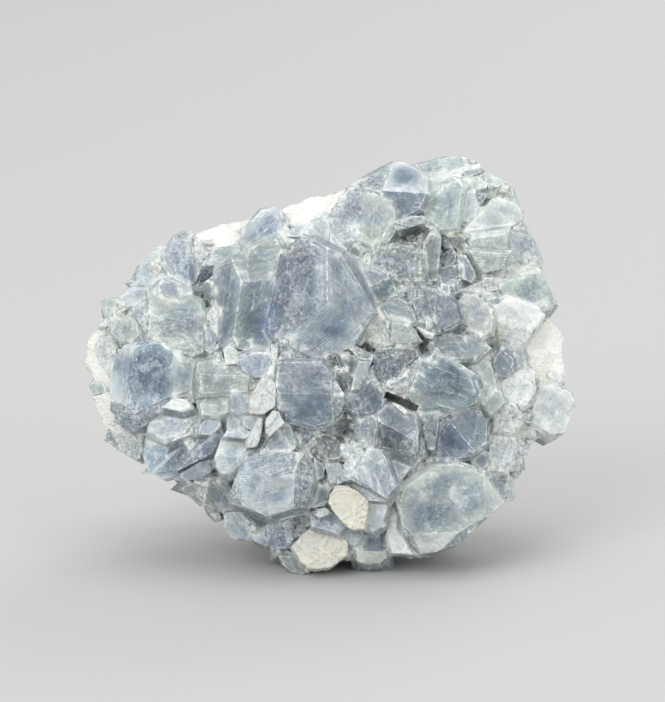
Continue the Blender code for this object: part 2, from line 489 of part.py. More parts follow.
# Rough lumps of the rock that show round the rim, in the same form
ROCK_LUMPS = {
    "top_left": (0, -5, 25, [
        (-43.8, 111.2), (-34, 114.8), (-25.8, 116.3), (-28.6, 108.6), (-38.5, 106.3), (-42.3, 106.2)
    ]),
    "top": (0, -5, 25, [
        (-15.3, 119.8), (-9, 121.7), (6.8, 127.3), (1, 118.7), (-4.5, 114.8), (-14.7, 113.5)
    ]),
    "left_a": (-1, -30, 15, [(-79.6, 74.5), (-78, 78.8), (-73.5, 84), (-72.5, 80), (-76.5, 74)]),
    "left_b": (-1, -30, 5, [
        (-80, 69.5), (-79.6, 74.5), (-76.5, 74.5), (-71, 68), (-71, 64.5), (-77.3, 65)
    ]),
    "left_c": (-1, -30, -5, [(-77.3, 65), (-70.5, 64.8), (-70, 60), (-73, 61.8), (-76, 63.8)]),
    "left_d": (0, -25, -10, [
        (-77.3, 58.5), (-77.3, 55.3), (-75.8, 52.5), (-72.6, 46.8), (-70, 47.5), (-68.3, 51),
        (-70, 57.5), (-73, 59.5)
    ]),
    "left_e": (-1, -25, -15, [(-74.3, 44.8), (-72.8, 46.6), (-70.5, 47), (-70, 42.6)]),
    "right_a": (1, 20, 10, [
        (63, 75), (67.5, 81), (71.5, 84), (72.8, 83.2), (76, 79), (77, 77), (76, 72.5), (68, 71)
    ]),
    "right_b": (0, 20, 0, [
        (62, 70.5), (63, 75), (76, 74.5), (76.4, 70), (77.7, 63.8), (75.3, 61.8), (70, 63),
        (65, 67.5)
    ]),
}

# Broken lumps and pits on the back of the rock: place and depth in mm, and radius
BACK_LUMPS = [
    (-42, 74, -26, 17), (-10, 88, -28, 18), (28, 102, -20, 17), (52, 74, -24, 17), (16, 56, -34, 15),
    (-22, 44, -34, 13), (40, 40, -28, 15), (-56, 54, -20, 15), (4, 20, -28, 14),
]
BACK_PITS = [(-2, 72, -49, 8), (36, 60, -48, 7), (-34, 60, -45, 6), (6, 38, -49, 6)]
CHUNK_SIDES = 12
CHUNK_ROUGHNESS = 0.2        # share of the radius
GOLDEN_TURN = math.pi * (3 - math.sqrt(5))

# Loose pale pieces lodged between the crystals, in the same form
PALE_PIECES = {
    "cream_stone_lower": (7, 3, 8, [
        (-12, 10.2), (-10, 12), (-6, 16.3), (-3.5, 16.5), (1, 14.8), (5, 12.8), (6, 11), (5.5, 7.5),
        (0.3, 3.8), (-4, 3.2), (-6.5, 3.5), (-9, 5.5)
    ]),
    "cream_stone_upper": (8, -5, 5, [
        (0, 24.5), (0.5, 27), (2.2, 30), (5.5, 30), (9, 28.3), (12.4, 25.5), (12, 20), (11.3, 16.4),
        (7, 16.3), (3.5, 19.5)
    ]),
    "white_plate_upper": (9, 5, 0, [
        (-22.5, 62.5), (-21, 64.5), (-18, 64.3), (-17, 62), (-17.2, 56), (-21, 53.4), (-25, 53.8),
        (-25.2, 57.5)
    ]),
    "white_plate_lower": (8, 5, 0, [
        (-19.9, 51.4), (-17.9, 54.4), (-16.4, 54), (-14.4, 50.6), (-19, 46), (-20, 47.5)
    ]),
    "white_blade": (9, 5, 0, [
        (-22.2, 52), (-21.4, 51.6), (-21.6, 47.5), (-23.3, 43.2), (-25.9, 42.7), (-26, 44)
    ]),
}


def sight(u, v, depth):
    """World place of a point (u, v) of the drawing plane, raised towards the viewer."""
    up = v - BASE_V
    y = up * math.sin(LEAN) - depth * math.cos(LEAN) - BACKWARDS
    z = up * math.cos(LEAN) + depth * math.sin(LEAN)
    return Vector((u, y, z))


TOWARDS = Vector((0, -math.cos(LEAN), math.sin(LEAN)))
ACROSS = Vector((1, 0, 0))
UPWARDS = TOWARDS.cross(ACROSS)


def dome(u, v):
    """Depth of the front of the cluster over the drawing plane."""
    reach = (u / DOME_HALF_WIDTH) ** 2 + ((v - DOME_CENTRE_V) / DOME_HALF_HEIGHT) ** 2
    return max(DOME_HEIGHT * (1 - reach), DOME_LOWEST)


def facing(yaw, pitch):
    """Direction of a face turned right by yaw and up by pitch, in degrees."""
    turned = Matrix.Rotation(math.radians(yaw), 3, UPWARDS) @ TOWARDS
    side = UPWARDS.cross(turned)
    return (Matrix.Rotation(math.radians(-pitch), 3, side) @ turned).normalized()


def on_plane(point, place, normal):
    """World place of a drawing point (in mm) on a face's plane."""
    start = sight(point[0] * MM, point[1] * MM, 0)
    reach = (place - start).dot(normal) / TOWARDS.dot(normal)
    return start + TOWARDS * reach


def shared_corners(outline, other):
    return [corner for corner in outline if corner in other]


def crystal_planes(rise, yaw, pitch, face, folds=(), side_turn=SIDE_TURN, root=ROOT):
    """The flat sides of one crystal: its front face, the faces folded back from it,
    a side behind each free edge that cuts off none of the corners, and the root."""
    middle_u = sum(corner[0] for corner in face) / len(face) * MM
    middle_v = sum(corner[1] for corner in face) / len(face) * MM
    place = sight(middle_u, middle_v, dome(middle_u, middle_v) + rise * MM)
    outlines = [(face, place, facing(yaw, pitch))]
    for angle, outline in folds:
        for other, other_place, other_normal in outlines:
            hinge = shared_corners(outline, other)
            if len(hinge) == 2:
                break
        start, end = (on_plane(corner, other_place, other_normal) for corner in hinge)
        normal = turned_out(start, end, other_normal, middle_of(outline, other_place), angle)
        outlines.append((outline, start, normal))
    planes = [(place, normal) for outline, place, normal in outlines]
    axis = outlines[0][2]
    corners = [on_plane(corner, place, normal)
               for outline, place, normal in outlines for corner in outline]
    for outline, place, normal in outlines:
        middle = middle_of(outline, place)
        for index, corner in enumerate(outline):
            edge = (outline[index - 1], corner)
            others = [other[0] for other in outlines if other[0] is not outline]
            if any(len(shared_corners(edge, other)) == 2 for other in others):
                continue
            start, end = (on_plane(point, place, normal) for point in edge)
            along = (end - start).normalized()
            upright = (axis - along * axis.dot(along)).normalized()
            side = turned_out(start, end, upright, start * 2 - middle, side_turn)
            reach = max((point - start).dot(side) for point in corners)
            planes.append((start + side * reach, side))
    planes.append((outlines[0][1] - TOWARDS * root, -TOWARDS))
    return planes


def middle_of(outline, place):
    """A world point amid an outline, near a given place's depth."""
    u = sum(corner[0] for corner in outline) / len(outline)
    v = sum(corner[1] for corner in outline) / len(outline)
    return on_plane((u, v), place, TOWARDS)


def turned_out(start, end, normal, outer, angle):
    """A face's direction turned about one of its edges, towards the outer point."""
    axis = (end - start).normalized()
    out = normal.cross(axis)
    if out.dot(outer - start) < 0:
        out = -out
    angle = math.radians(angle)
    return (normal * math.cos(angle) + out * math.sin(angle)).normalized()


def add_solid(bm, planes, grow=0):
    """Cut a block of stuff down to the inside of all the planes."""
    piece = bmesh.new()
    middle = planes[0][0]
    bmesh.ops.create_cube(piece, size=BLOCK, matrix=Matrix.Translation(middle))
    for place, normal in planes:
        everything = piece.verts[:] + piece.edges[:] + piece.faces[:]
        cut = bmesh.ops.bisect_plane(
            piece, geom=everything, dist=JOIN, plane_co=place + normal * grow,
            plane_no=normal, clear_outer=True)
        rim = [item for item in cut["geom_cut"] if isinstance(item, bmesh.types.BMEdge)]
        if rim:
            bmesh.ops.edgeloop_fill(piece, edges=rim)
    bmesh.ops.remove_doubles(piece, verts=piece.verts, dist=JOIN * 2)
    bmesh.ops.recalc_face_normals(piece, faces=piece.faces)
    scratch = bpy.data.meshes.new("scratch")
    piece.to_mesh(scratch)
    piece.free()
    bm.from_mesh(scratch)
    bpy.data.meshes.remove(scratch)


def rim_ring(scale, grow=0, centre=RIM_CENTRE):
    """The rim drawn at a scale about a centre and pushed out by grow, in metres."""
    ring = []
    centre = Vector(centre) * MM
    for corner in RIM:
        spoke = Vector(corner) * MM - centre
        ring.append(centre + spoke * scale + spoke.normalized() * grow)
    return ring


def wobble(u, v, layer, size):
    """A smooth random shift, the same for the same place."""
    return noise.noise(Vector((u / size, v / size, layer)))


def add_lens(bm, rings, front, back):
    """A closed body of rings of world points between a front and a back point."""
    loops = [[bm.verts.new(point) for point in ring] for ring in rings]
    count = len(loops[0])
    for outer, inner in zip(loops[1:], loops):
        for i in range(count):
            bm.faces.new((inner[i - 1], inner[i], outer[i], outer[i - 1]))
    for loop, point in ((loops[0], front), (loops[-1], back)):
        tip = bm.verts.new(point)
        for i in range(count):
            bm.faces.new((tip, loop[i - 1], loop[i]))
    bmesh.ops.recalc_face_normals(bm, faces=bm.faces)


def crust_depth(u, v):
    """Depth of the crust's own surface, lower in the hollows between the crystals."""
    depth = dome(u, v) - CRUST_SINK + wobble(u, v, 0, CRUST_GRAIN) * CRUST_ROUGHNESS
    for hollow_u, hollow_v, radius, extra in HOLLOWS:
        distance = math.hypot(u - hollow_u * MM, v - hollow_v * MM) / (radius * MM)
        depth -= extra * MM * max(0, 1 - distance ** 2)
    return depth


def rock_depth(u, v):
    return dome(u, v) - ROCK_SINK + wobble(u, v, 5, ROCK_GRAIN) * ROCK_FRONT_ROUGHNESS


def add_crust_bed(bm):
    """The granular bed that all the crystals stand in."""
    rings = []
    for scale in CRUST_RINGS:
        rings.append([sight(u, v, crust_depth(u, v)) for u, v in rim_ring(scale)])
    for scale in BED_BACK_RINGS:
        rings.append([sight(u, v, rock_depth(u, v) - BED_OVERLAP) for u, v in rim_ring(scale)])
    u, v = Vector(RIM_CENTRE) * MM
    add_lens(bm, rings, sight(u, v, crust_depth(u, v)), sight(u, v, rock_depth(u, v) - BED_OVERLAP))


def add_rock_body(bm, grow=0):
    """The lump of rock behind the crust, grown evenly for the room that it needs."""
    rings = []
    for scale in ROCK_FRONT_RINGS:
        drawn = rim_ring(scale)
        wider = rim_ring(scale, grow)
        rings.append([
            sight(wide.x, wide.y, rock_depth(u, v) + grow * SLOPE_ALLOWANCE)
            for (u, v), wide in zip(drawn, wider)])
    for layer, (scale, share) in enumerate(ROCK_BACK_RINGS):
        ring = []
        drawn = rim_ring(scale, 0, ROCK_CENTRE)
        for (u, v), wide in zip(drawn, rim_ring(scale, grow, ROCK_CENTRE)):
            edge = rock_depth(u, v)
            depth = edge + (ROCK_BACK - edge) * share
            shift = Vector([wobble(u, v, layer * 3 + axis, ROCK_GRAIN) for axis in range(3)])
            shift *= ROCK_ROUGHNESS * share
            ring.append(sight(wide.x + shift.x, wide.y + shift.y, depth - grow + shift.z))
        rings.append(ring)
    u, v = Vector(RIM_CENTRE) * MM
    front = sight(u, v, rock_depth(u, v) + grow * SLOPE_ALLOWANCE)
    u, v = Vector(ROCK_CENTRE) * MM
    add_lens(bm, rings, front, sight(u, v, ROCK_BACK - grow))


def chunk_planes(middle, radius, seed):
    """The flat sides of a blunt broken lump of rock."""
    planes = []
    for i in range(CHUNK_SIDES):
        height = 1 - 2 * (i + 0.5) / CHUNK_SIDES
        turn = i * GOLDEN_TURN + seed
        level = math.sqrt(1 - height ** 2)
        normal = Vector((level * math.cos(turn), level * math.sin(turn), height))
        reach = radius * (1 + CHUNK_ROUGHNESS * noise.noise(normal * 2 + Vector((seed * 7, 0, 0))))
        planes.append((middle + normal * reach, normal))
    return planes


def add_rock_lumps(bm, grow=0):
    """The lumps at the rim and on the back of the rock."""
    for lump in ROCK_LUMPS.values():
        add_solid(bm, crystal_planes(*lump, root=LUMP_ROOT), grow)
    for seed, (u, v, depth, radius) in enumerate(BACK_LUMPS):
        add_solid(bm, chunk_planes(sight(u * MM, v * MM, depth * MM), radius * MM, seed), grow)


def add_rock_pits(bm):
    for seed, (u, v, depth, radius) in enumerate(BACK_PITS):
        add_solid(bm, chunk_planes(sight(u * MM, v * MM, depth * MM), radius * MM, seed + 20))


def new_object(name, bm):
    mesh = bpy.data.meshes.new(name)
    bm.to_mesh(mesh)
    bm.free()
    piece = bpy.data.objects.new(name, mesh)
    bpy.context.scene.collection.objects.link(piece)
    return piece


def as_tool(piece):
    piece.hide_render = True
    piece.display_type = "WIRE"
    return piece


def combine(piece, tool, operation, overlapping=False):
    """Join a tool to a piece or cut it away."""
    modifier = piece.modifiers.new(tool.name, "BOOLEAN")
    modifier.operation = operation
    modifier.object = tool
    modifier.solver = "EXACT"
    modifier.use_self = overlapping


def finish_shell(piece):
    """Apply the Booleans and keep the outer shell, so that the small voids sealed
    between crystal roots become solid."""
    bpy.context.view_layer.update()
    shaped = piece.evaluated_get(bpy.context.evaluated_depsgraph_get())
    bm = bmesh.new()
    bm.from_mesh(bpy.data.meshes.new_from_object(shaped))
    shells = []
    waiting = set(bm.faces)
    while waiting:
        front = [waiting.pop()]
        shell = set(front)
        while front:
            near = {other for edge in front.pop().edges for other in edge.link_faces}
            near &= waiting
            waiting -= near
            shell |= near
            front.extend(near)
        shells.append(shell)
    largest = max(shells, key=lambda shell: sum(face.calc_area() for face in shell))
    loose = [face for shell in shells if shell is not largest for face in shell]
    bmesh.ops.delete(bm, geom=loose, context="FACES")
    piece.modifiers.clear()
    bm.to_mesh(piece.data)
    bm.free()


def paint(piece, colour, roughness):
    material = bpy.data.materials.new(piece.name)
    material.use_nodes = True
    shader = material.node_tree.nodes["Principled BSDF"]
    shader.inputs["Base Color"].default_value = (*colour, 1)
    shader.inputs["Roughness"].default_value = roughness
    material.diffuse_color = (*colour, 1)
    piece.data.materials.append(material)


def floor_block():
    """Everything below the floor, to cut the flat spot."""
    bm = bmesh.new()
    size = BLOCK * 3
    bmesh.ops.create_cube(bm, size=size, matrix=Matrix.Translation((0, 0, -size / 2)))
    return as_tool(new_object("below_floor", bm))


def build():
    for old in list(bpy.context.scene.objects):
        bpy.data.objects.remove(old, do_unlink=True)
    floor = floor_block()

    bm = bmesh.new()
    for crystals in (UPPER_LEFT, LOWER_LEFT, MIDDLE, TOP, RIGHT, BOTTOM):
        for crystal in crystals.values():
            add_solid(bm, crystal_planes(*crystal))
    crystals = as_tool(new_object("crystals", bm))

    bm = bmesh.new()
    add_rock_body(bm, GAP)
    add_rock_lumps(bm, GAP)
    for name, pale in PALE_PIECES.items():
        add_solid(bm, crystal_planes(*pale, side_turn=90, root=PALE_ROOT), GAP)
    room = as_tool(new_object("room_for_rock_and_pieces", bm))

    bm = bmesh.new()
    add_crust_bed(bm)
    crust = new_object("crystal_crust", bm)
    combine(crust, crystals, "UNION", overlapping=True)
    combine(crust, room, "DIFFERENCE", overlapping=True)
    combine(crust, floor, "DIFFERENCE")
    finish_shell(crust)
    paint(crust, (0.45, 0.56, 0.68), 0.15)

    bm = bmesh.new()
    add_rock_lumps(bm)
    lumps = as_tool(new_object("rock_lumps", bm))
    bm = bmesh.new()
    add_rock_pits(bm)
    pits = as_tool(new_object("rock_pits", bm))
    bm = bmesh.new()
    add_rock_body(bm)
    rock = new_object("rock_matrix", bm)
    combine(rock, lumps, "UNION", overlapping=True)
    combine(rock, pits, "DIFFERENCE", overlapping=True)
    combine(rock, floor, "DIFFERENCE")
    finish_shell(rock)
    paint(rock, (0.82, 0.81, 0.76), 0.85)

    for name, pale in PALE_PIECES.items():
        bm = bmesh.new()
        add_solid(bm, crystal_planes(*pale, side_turn=90, root=PALE_ROOT))
        piece = new_object(name, bm)
        paint(piece, (0.80, 0.77, 0.66), 0.8)


build()
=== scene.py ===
# Celestite cluster: its finishes, fine shapes, floor, light and camera.
# Lengths in the dictionaries are in millimetres, and angles in degrees.
import json
import math
import random
import bpy
import numpy as np
from mathutils import Matrix, Vector, kdtree

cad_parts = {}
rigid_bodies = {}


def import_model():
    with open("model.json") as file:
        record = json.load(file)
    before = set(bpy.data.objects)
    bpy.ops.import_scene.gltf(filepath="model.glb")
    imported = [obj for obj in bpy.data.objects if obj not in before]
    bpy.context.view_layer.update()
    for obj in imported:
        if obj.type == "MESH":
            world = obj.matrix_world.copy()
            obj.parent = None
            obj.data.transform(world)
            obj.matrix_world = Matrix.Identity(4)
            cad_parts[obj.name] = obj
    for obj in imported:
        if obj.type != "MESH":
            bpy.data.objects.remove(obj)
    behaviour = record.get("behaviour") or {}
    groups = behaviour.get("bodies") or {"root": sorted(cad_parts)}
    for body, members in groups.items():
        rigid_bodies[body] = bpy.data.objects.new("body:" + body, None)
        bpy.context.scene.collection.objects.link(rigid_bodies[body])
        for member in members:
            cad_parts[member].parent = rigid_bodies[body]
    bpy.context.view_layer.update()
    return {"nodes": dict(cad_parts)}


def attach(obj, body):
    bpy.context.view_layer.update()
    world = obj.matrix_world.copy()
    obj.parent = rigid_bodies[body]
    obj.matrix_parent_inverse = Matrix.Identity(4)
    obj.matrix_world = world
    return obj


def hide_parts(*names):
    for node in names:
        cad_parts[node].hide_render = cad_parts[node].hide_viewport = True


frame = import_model()
bpy.ops.object.select_all(action="DESELECT")
print("frame loaded")

mm = 0.001

# The plane that the cluster is drawn on leans back, and the crystals stand on a dome over it
drawing = {"lean": 12, "floorLine": 4, "backwards": 17.29}
dome = {"height": 34, "halfWidth": 80, "halfHeight": 70, "centreV": 62, "lowest": -8}

lean = math.radians(drawing["lean"])
towards = Vector((0, -math.cos(lean), math.sin(lean)))    # to the viewer
across = Vector((1, 0, 0))
upwards = towards.cross(across)
drawingFoot = Vector((0, -drawing["backwards"] * mm, 0))


def sight(u, v, depth):
    # world place of a point of the drawing, raised towards the viewer
    return (drawingFoot + across * u * mm + upwards * (v - drawing["floorLine"]) * mm
            + towards * depth * mm)


def domeDepth(u, v):
    reach = (u / dome["halfWidth"]) ** 2 + ((v - dome["centreV"]) / dome["halfHeight"]) ** 2
    return max(dome["height"] * (1 - reach), dome["lowest"])


def facing(yaw, pitch):
    # direction of a face turned right by yaw and up by pitch
    turned = Matrix.Rotation(math.radians(yaw), 3, upwards) @ towards
    side = upwards.cross(turned)
    return (Matrix.Rotation(math.radians(-pitch), 3, side) @ turned).normalized()


def onPlane(point, place, normal):
    start = sight(point[0], point[1], 0)
    return start + towards * ((place - start).dot(normal) / towards.dot(normal))


def centreOf(outline):
    return [sum(corner[i] for corner in outline) / len(outline) for i in (0, 1)]


def middleOf(outline, place):
    return onPlane(centreOf(outline), place, towards)


def turnedOut(start, end, normal, outer, angle):
    # a face's direction turned about one of its edges, towards the outer point
    axis = (end - start).normalized()
    out = normal.cross(axis)
    if out.dot(outer - start) < 0:
        out = -out
    angle = math.radians(angle)
    return (normal * math.cos(angle) + out * math.sin(angle)).normalized()


def choose(piece):
    # makes a piece the active one and the only one selected
    bpy.ops.object.select_all(action="DESELECT")
    piece.select_set(True)
    bpy.context.view_layer.objects.active = piece


def applied(piece, modifier):
    bpy.context.view_layer.objects.active = piece
    bpy.ops.object.modifier_apply(modifier=modifier.name)


# Camera at the photograph's angle
cameraSetup = {"aim": (1.14, 73.45), "distance": 1500, "frameWidth": 216, "sensor": 36,
               "frontOfDome": 15, "farEnd": 20}   # the far end in metres

bpy.ops.object.camera_add()
camera = bpy.context.object
camera.location = sight(*cameraSetup["aim"], cameraSetup["distance"])
camera.rotation_euler = towards.to_track_quat("Z", "Y").to_euler()
camera.data.sensor_fit = "HORIZONTAL"
camera.data.sensor_width = cameraSetup["sensor"]
camera.data.lens = (cameraSetup["sensor"] / cameraSetup["frameWidth"]
                    * (cameraSetup["distance"] - cameraSetup["frontOfDome"]))
camera.data.clip_end = cameraSetup["farEnd"]
bpy.context.scene.camera = camera
print("camera placed")

# Named tints of the crystals and the white stuff between them
tints = {
    "white": "#e6e9e7", "ice": "#d2dce3", "paleBlue": "#b9cadb", "blue": "#7a9acc",
    "sky": "#8fb0d6", "blueLavender": "#93a8cb", "lavender": "#a6b4cc", "lavenderGrey": "#adb6c8",
    "slateLavender": "#8e99b2", "slate": "#7488a3", "darkSlate": "#55647c",
    "greyBlue": "#a2b1bf", "tealGrey": "#a3b5ba", "teal": "#a5bcbf", "deepTeal": "#6f8f9c",
    "greenWhite": "#d0dbd2", "green": "#b9c9c2", "greenGrey": "#a4b2ae", "yellowGreen": "#d0d5c2",
    "olive": "#77796a", "oliveGrey": "#9aa29b", "beige": "#c1c4be", "cream": "#dcd9ca",
    "brownCream": "#bab19f", "greyBrown": "#9b9a94", "darkBrown": "#5c574f", "pink": "#cfcacb",
    "common": "#b3bfba", "smoke": "#788a92", "steel": "#8d9da7", "deepSmoke": "#5d6d78",
    "deepWindow": "#7fa0c4", "pitch": "#2c2b29",
    "straw": "#ddd8c6", "chalk": "#d6d8d3", "rock": "#f0f0ec", "crust": "#e4e4dc",
}


def tintColour(name):
    # a named tint as the linear colour that shaders use
    digits = tints[name].lstrip("#")
    parts = [int(digits[i:i + 2], 16) / 255 for i in (0, 2, 4)]
    return [part / 12.92 if part <= 0.04045 else ((part + 0.055) / 1.055) ** 2.4
            for part in parts]


# Finishes of a crystal face: frost is dull and milky, grit is sugary and rough,
# groove is fine lines in the face, band is lines of growth under it
finishes = {
    "glassy": {"frost": 0.08, "grit": 0.05, "groove": 0.05, "band": 0.1},
    "frosted": {"frost": 0.55, "grit": 0.25, "groove": 0.05, "band": 0.1},
    "granular": {"frost": 0.6, "grit": 0.9, "groove": 0.0, "band": 0.0},
    "grooved": {"frost": 0.3, "grit": 0.1, "groove": 0.9, "band": 0.3},
    "banded": {"frost": 0.15, "grit": 0.1, "groove": 0.15, "band": 0.9},
    "chalky": {"frost": 1.0, "grit": 0.6, "groove": 0.0, "band": 0.0},
}

# Crystals by region. Each is (rise over the dome, yaw, pitch, faces), and each face is
# (fold back from the face it shares an edge with, tint, clarity, finish, corners seen from
# the front)
upperLeft = {
    "lavenderTip": (4, -12, 8, [(0, "lavender", 0.6, "glassy", [(-52.5, 97), (-45.2, 94.2),
            (-46.5, 112.3), (-50, 111.3), (-53, 107)]),
        (45, "paleBlue", 0.4, "glassy", [(-45.2, 94.2), (-43.3, 96), (-42.6, 106), (-44.3, 111.6),
            (-46.5, 112.3)])]),
    "paleShoulder": (2, -25, 22, [(0, "ice", 0.3, "frosted", [(-65.5, 95.5), (-57, 94.8),
            (-52.5, 97), (-50, 104.5), (-52.5, 108), (-57.5, 107.3), (-63, 101)])]),
    "leftShoulder": (2, -30, 30, [(0, "ice", 0.25, "frosted", [(-69.8, 89), (-66, 94), (-60, 95.6),
            (-57.8, 92), (-59, 89), (-66, 88)])]),
    "leftTip": (1, -35, 15, [(0, "greenWhite", 0.3, "frosted", [(-75, 90.3), (-70, 90.5), (-66, 88),
            (-64, 85.5), (-70, 83.5), (-74.3, 84)])]),
    "greySaddle": (3, 8, 32, [(0, "greyBlue", 0.5, "glassy", [(-56, 95), (-52.5, 97), (-45, 94),
            (-43.5, 91.5), (-46, 89.3), (-50, 90), (-55, 93)])]),
    "bandedBlock": (5, -5, 8, [(0, "greenGrey", 0.6, "banded", [(-62, 83.5), (-59, 78.5), (-50, 74),
            (-44, 71.5), (-40.6, 73), (-41, 85)]),
        (30, "green", 0.5, "banded", [(-62, 83.5), (-41, 85), (-41.5, 89.3), (-48, 92), (-54, 93.8),
            (-59, 91.5), (-64, 87)])]),
    "greenLeft": (3, -28, 5, [(0, "greenWhite", 0.4, "frosted", [(-73, 84), (-65.5, 85.3),
            (-61.5, 81.5), (-57.5, 77.8), (-63, 76.2), (-68, 77), (-71.5, 79.5)])]),
    "bigLeft": (8, -8, 4, [(0, "sky", 0.75, "glassy", [(-62.7, 75), (-54.5, 76.5), (-50, 72.5),
            (-53.5, 57), (-57.5, 54), (-65.5, 54.5)]),
        (35, "ice", 0.35, "glassy", [(-62.7, 75), (-65.5, 54.5), (-69.5, 57), (-69.7, 70),
            (-66, 74)]),
        (25, "ice", 0.4, "glassy", [(-50, 72.5), (-43.2, 69.2), (-43.5, 63), (-48, 58.5),
            (-53.5, 57)]),
        (35, "white", 0.05, "frosted", [(-65.5, 54.5), (-57.5, 54), (-58.5, 50), (-61, 48),
            (-65, 47.3), (-68.5, 50.5)])]),
    "rimLeft": (0, -30, 5, [(0, "white", 0.15, "granular", [(-77, 75), (-75, 78.5), (-70.5, 78.8),
            (-68.8, 75), (-69.5, 67), (-72, 66), (-76, 70)])]),
    "smallWedge": (3, -20, 20, [(0, "lavender", 0.5, "glassy", [(-69, 74.3), (-66, 73.5),
            (-65.8, 70), (-68.5, 69.3)])]),
    "rimGreen": (0, -35, 0, [(0, "green", 0.4, "glassy", [(-78.6, 62), (-76.5, 64.5), (-73, 62),
            (-72, 58.5), (-76, 57.5)])]),
    "whiteStep": (2, -15, 5, [(0, "white", 0.1, "chalky", [(-71.8, 73.5), (-69.5, 74), (-68.8, 66),
            (-70.2, 64.5)])]),
}

lowerLeft = {
    "icyRim": (1, -20, -12, [(0, "white", 0.1, "granular", [(-73.5, 44.3), (-72, 47.8), (-66, 48),
            (-61, 47), (-60, 42), (-61.5, 37.2), (-66, 39.7), (-70, 42)])]),
    "lowLavender": (3, -10, -5, [(0, "sky", 0.5, "glassy", [(-60.3, 39), (-59, 34.6), (-54, 31.8),
            (-48, 33.5), (-43.5, 38.5), (-46, 42), (-51, 45), (-57, 43.5)])]),
    "frostedSlab": (4, -12, 20, [(0, "ice", 0.35, "frosted", [(-59, 47.5), (-58.5, 52), (-55, 54.8),
            (-46, 54.5), (-40, 51.5), (-46, 47), (-53, 45)])]),
    "whiteBitA": (3.5, -20, 10, [(0, "white", 0.1, "chalky", [(-60, 44), (-59, 46), (-56, 46),
            (-54.5, 44), (-57, 42)])]),
    "whiteBitB": (3.5, 0, 10, [(0, "white", 0.1, "chalky", [(-47, 44), (-44.5, 45.5), (-42.5, 43.5),
            (-41.5, 41), (-44, 40)])]),
    "whiteRidge": (6.5, -5, 25, [(0, "white", 0.2, "frosted", [(-54, 55.3), (-50, 58.3),
            (-45, 57.8), (-43, 55), (-47, 54)])]),
    "whiteStreak": (5.5, 0, 20, [(0, "white", 0.1, "chalky", [(-50.5, 44.3), (-49.5, 45.8),
            (-44, 48), (-43.5, 46.8)])]),
    "blueDiagonal": (4.5, 18, -12, [(0, "blue", 0.75, "glassy", [(-48.5, 35), (-42.5, 38),
            (-37.3, 40.5), (-34.7, 46), (-33, 49.8), (-36, 48), (-42, 42.5)])]),
    "paleUnder": (3, 5, -25, [(0, "paleBlue", 0.2, "frosted", [(-48.5, 33.5), (-42, 37.5),
            (-37.5, 38.5), (-37, 35.5), (-41, 32), (-47, 31.5)])]),
    "paleKnob": (5.5, 5, 10, [(0, "lavender", 0.4, "frosted", [(-41.5, 49.5), (-38.5, 52.8),
            (-35.3, 52.8), (-34.3, 49.3), (-38, 46.3), (-42, 46.8)])]),
    "greenWedge": (5, -5, 12, [(0, "green", 0.5, "glassy", [(-41.5, 57), (-38, 60), (-32, 60),
            (-30.5, 57), (-31.5, 54.5), (-36, 52.5), (-40.5, 53)])]),
    "greyWedge": (5, 5, 0, [(0, "lavenderGrey", 0.5, "glassy", [(-30.5, 61.5), (-26, 60.8),
            (-24.6, 60), (-25.3, 55), (-28, 52.8), (-31.3, 54.5)])]),
    "bandedLens": (6, -5, 30, [(0, "oliveGrey", 0.5, "banded", [(-42, 70), (-34, 71), (-29, 69.5),
            (-24.5, 65.3), (-42.5, 66)]),
        (35, "oliveGrey", 0.5, "banded", [(-42.5, 66), (-24.5, 65.3), (-23, 62.5), (-25.5, 60.5),
            (-41.8, 60)])]),
    "whiteBlock": (6, -6, 4, [(0, "ice", 0.35, "grooved", [(-37.3, 37.5), (-35.5, 42), (-25, 41.3),
            (-27.5, 36), (-29.3, 34.7), (-33, 33.3), (-36.3, 35.5)]),
        (30, "white", 0.25, "grooved", [(-35.5, 42), (-34.5, 45.5), (-27, 45.5), (-23.5, 43),
            (-25, 41.3)])]),
    "paleBackA": (5, -5, 15, [(0, "paleBlue", 0.5, "glassy", [(-34, 46), (-31.5, 50.5), (-28.5, 50),
            (-24.5, 47), (-27, 45.3)])]),
    "paleBackB": (4.5, -5, 10, [(0, "greyBlue", 0.5, "glassy", [(-33, 49.5), (-31.5, 53.5),
            (-28, 52.5), (-28.5, 49.5), (-32, 47)])]),
    "paleBackC": (4, 5, 10, [(0, "paleBlue", 0.5, "glassy", [(-28, 52.5), (-22, 53), (-21.5, 50),
            (-24, 47.5), (-28.5, 50)])]),
    "leftFootA": (0, -15, -20, [(0, "greyBrown", 0.6, "glassy", [(-48, 28.8), (-43.5, 31.3),
            (-40.7, 27), (-40.5, 23), (-42, 23.5)])]),
    "leftFootB": (1, -8, -15, [(0, "greyBrown", 0.6, "glassy", [(-41, 27), (-38.3, 31),
            (-34.5, 31.5), (-30.7, 26.5), (-29, 25), (-30, 22), (-36, 21.5), (-40, 22.8)])]),
    "leftFootC": (0, -12, -20, [(0, "greyBrown", 0.6, "glassy", [(-40.5, 23), (-36, 21.7),
            (-35, 18.6), (-36.5, 18.2), (-38.2, 20)])]),
    "leftFootD": (1.5, -8, -10, [(0, "greyBlue", 0.5, "frosted", [(-34.3, 21), (-29.5, 22),
            (-27.3, 18.7), (-23.5, 14.5), (-25, 12), (-29.5, 11.8), (-32, 13), (-34, 16.5)])]),
    "leftFootE": (0, -5, 15, [(0, "greyBlue", 0.6, "glassy", [(-48, 31.8), (-44, 33), (-38, 33),
            (-34, 32.2), (-33.8, 30.5), (-40, 29.5)])]),
}

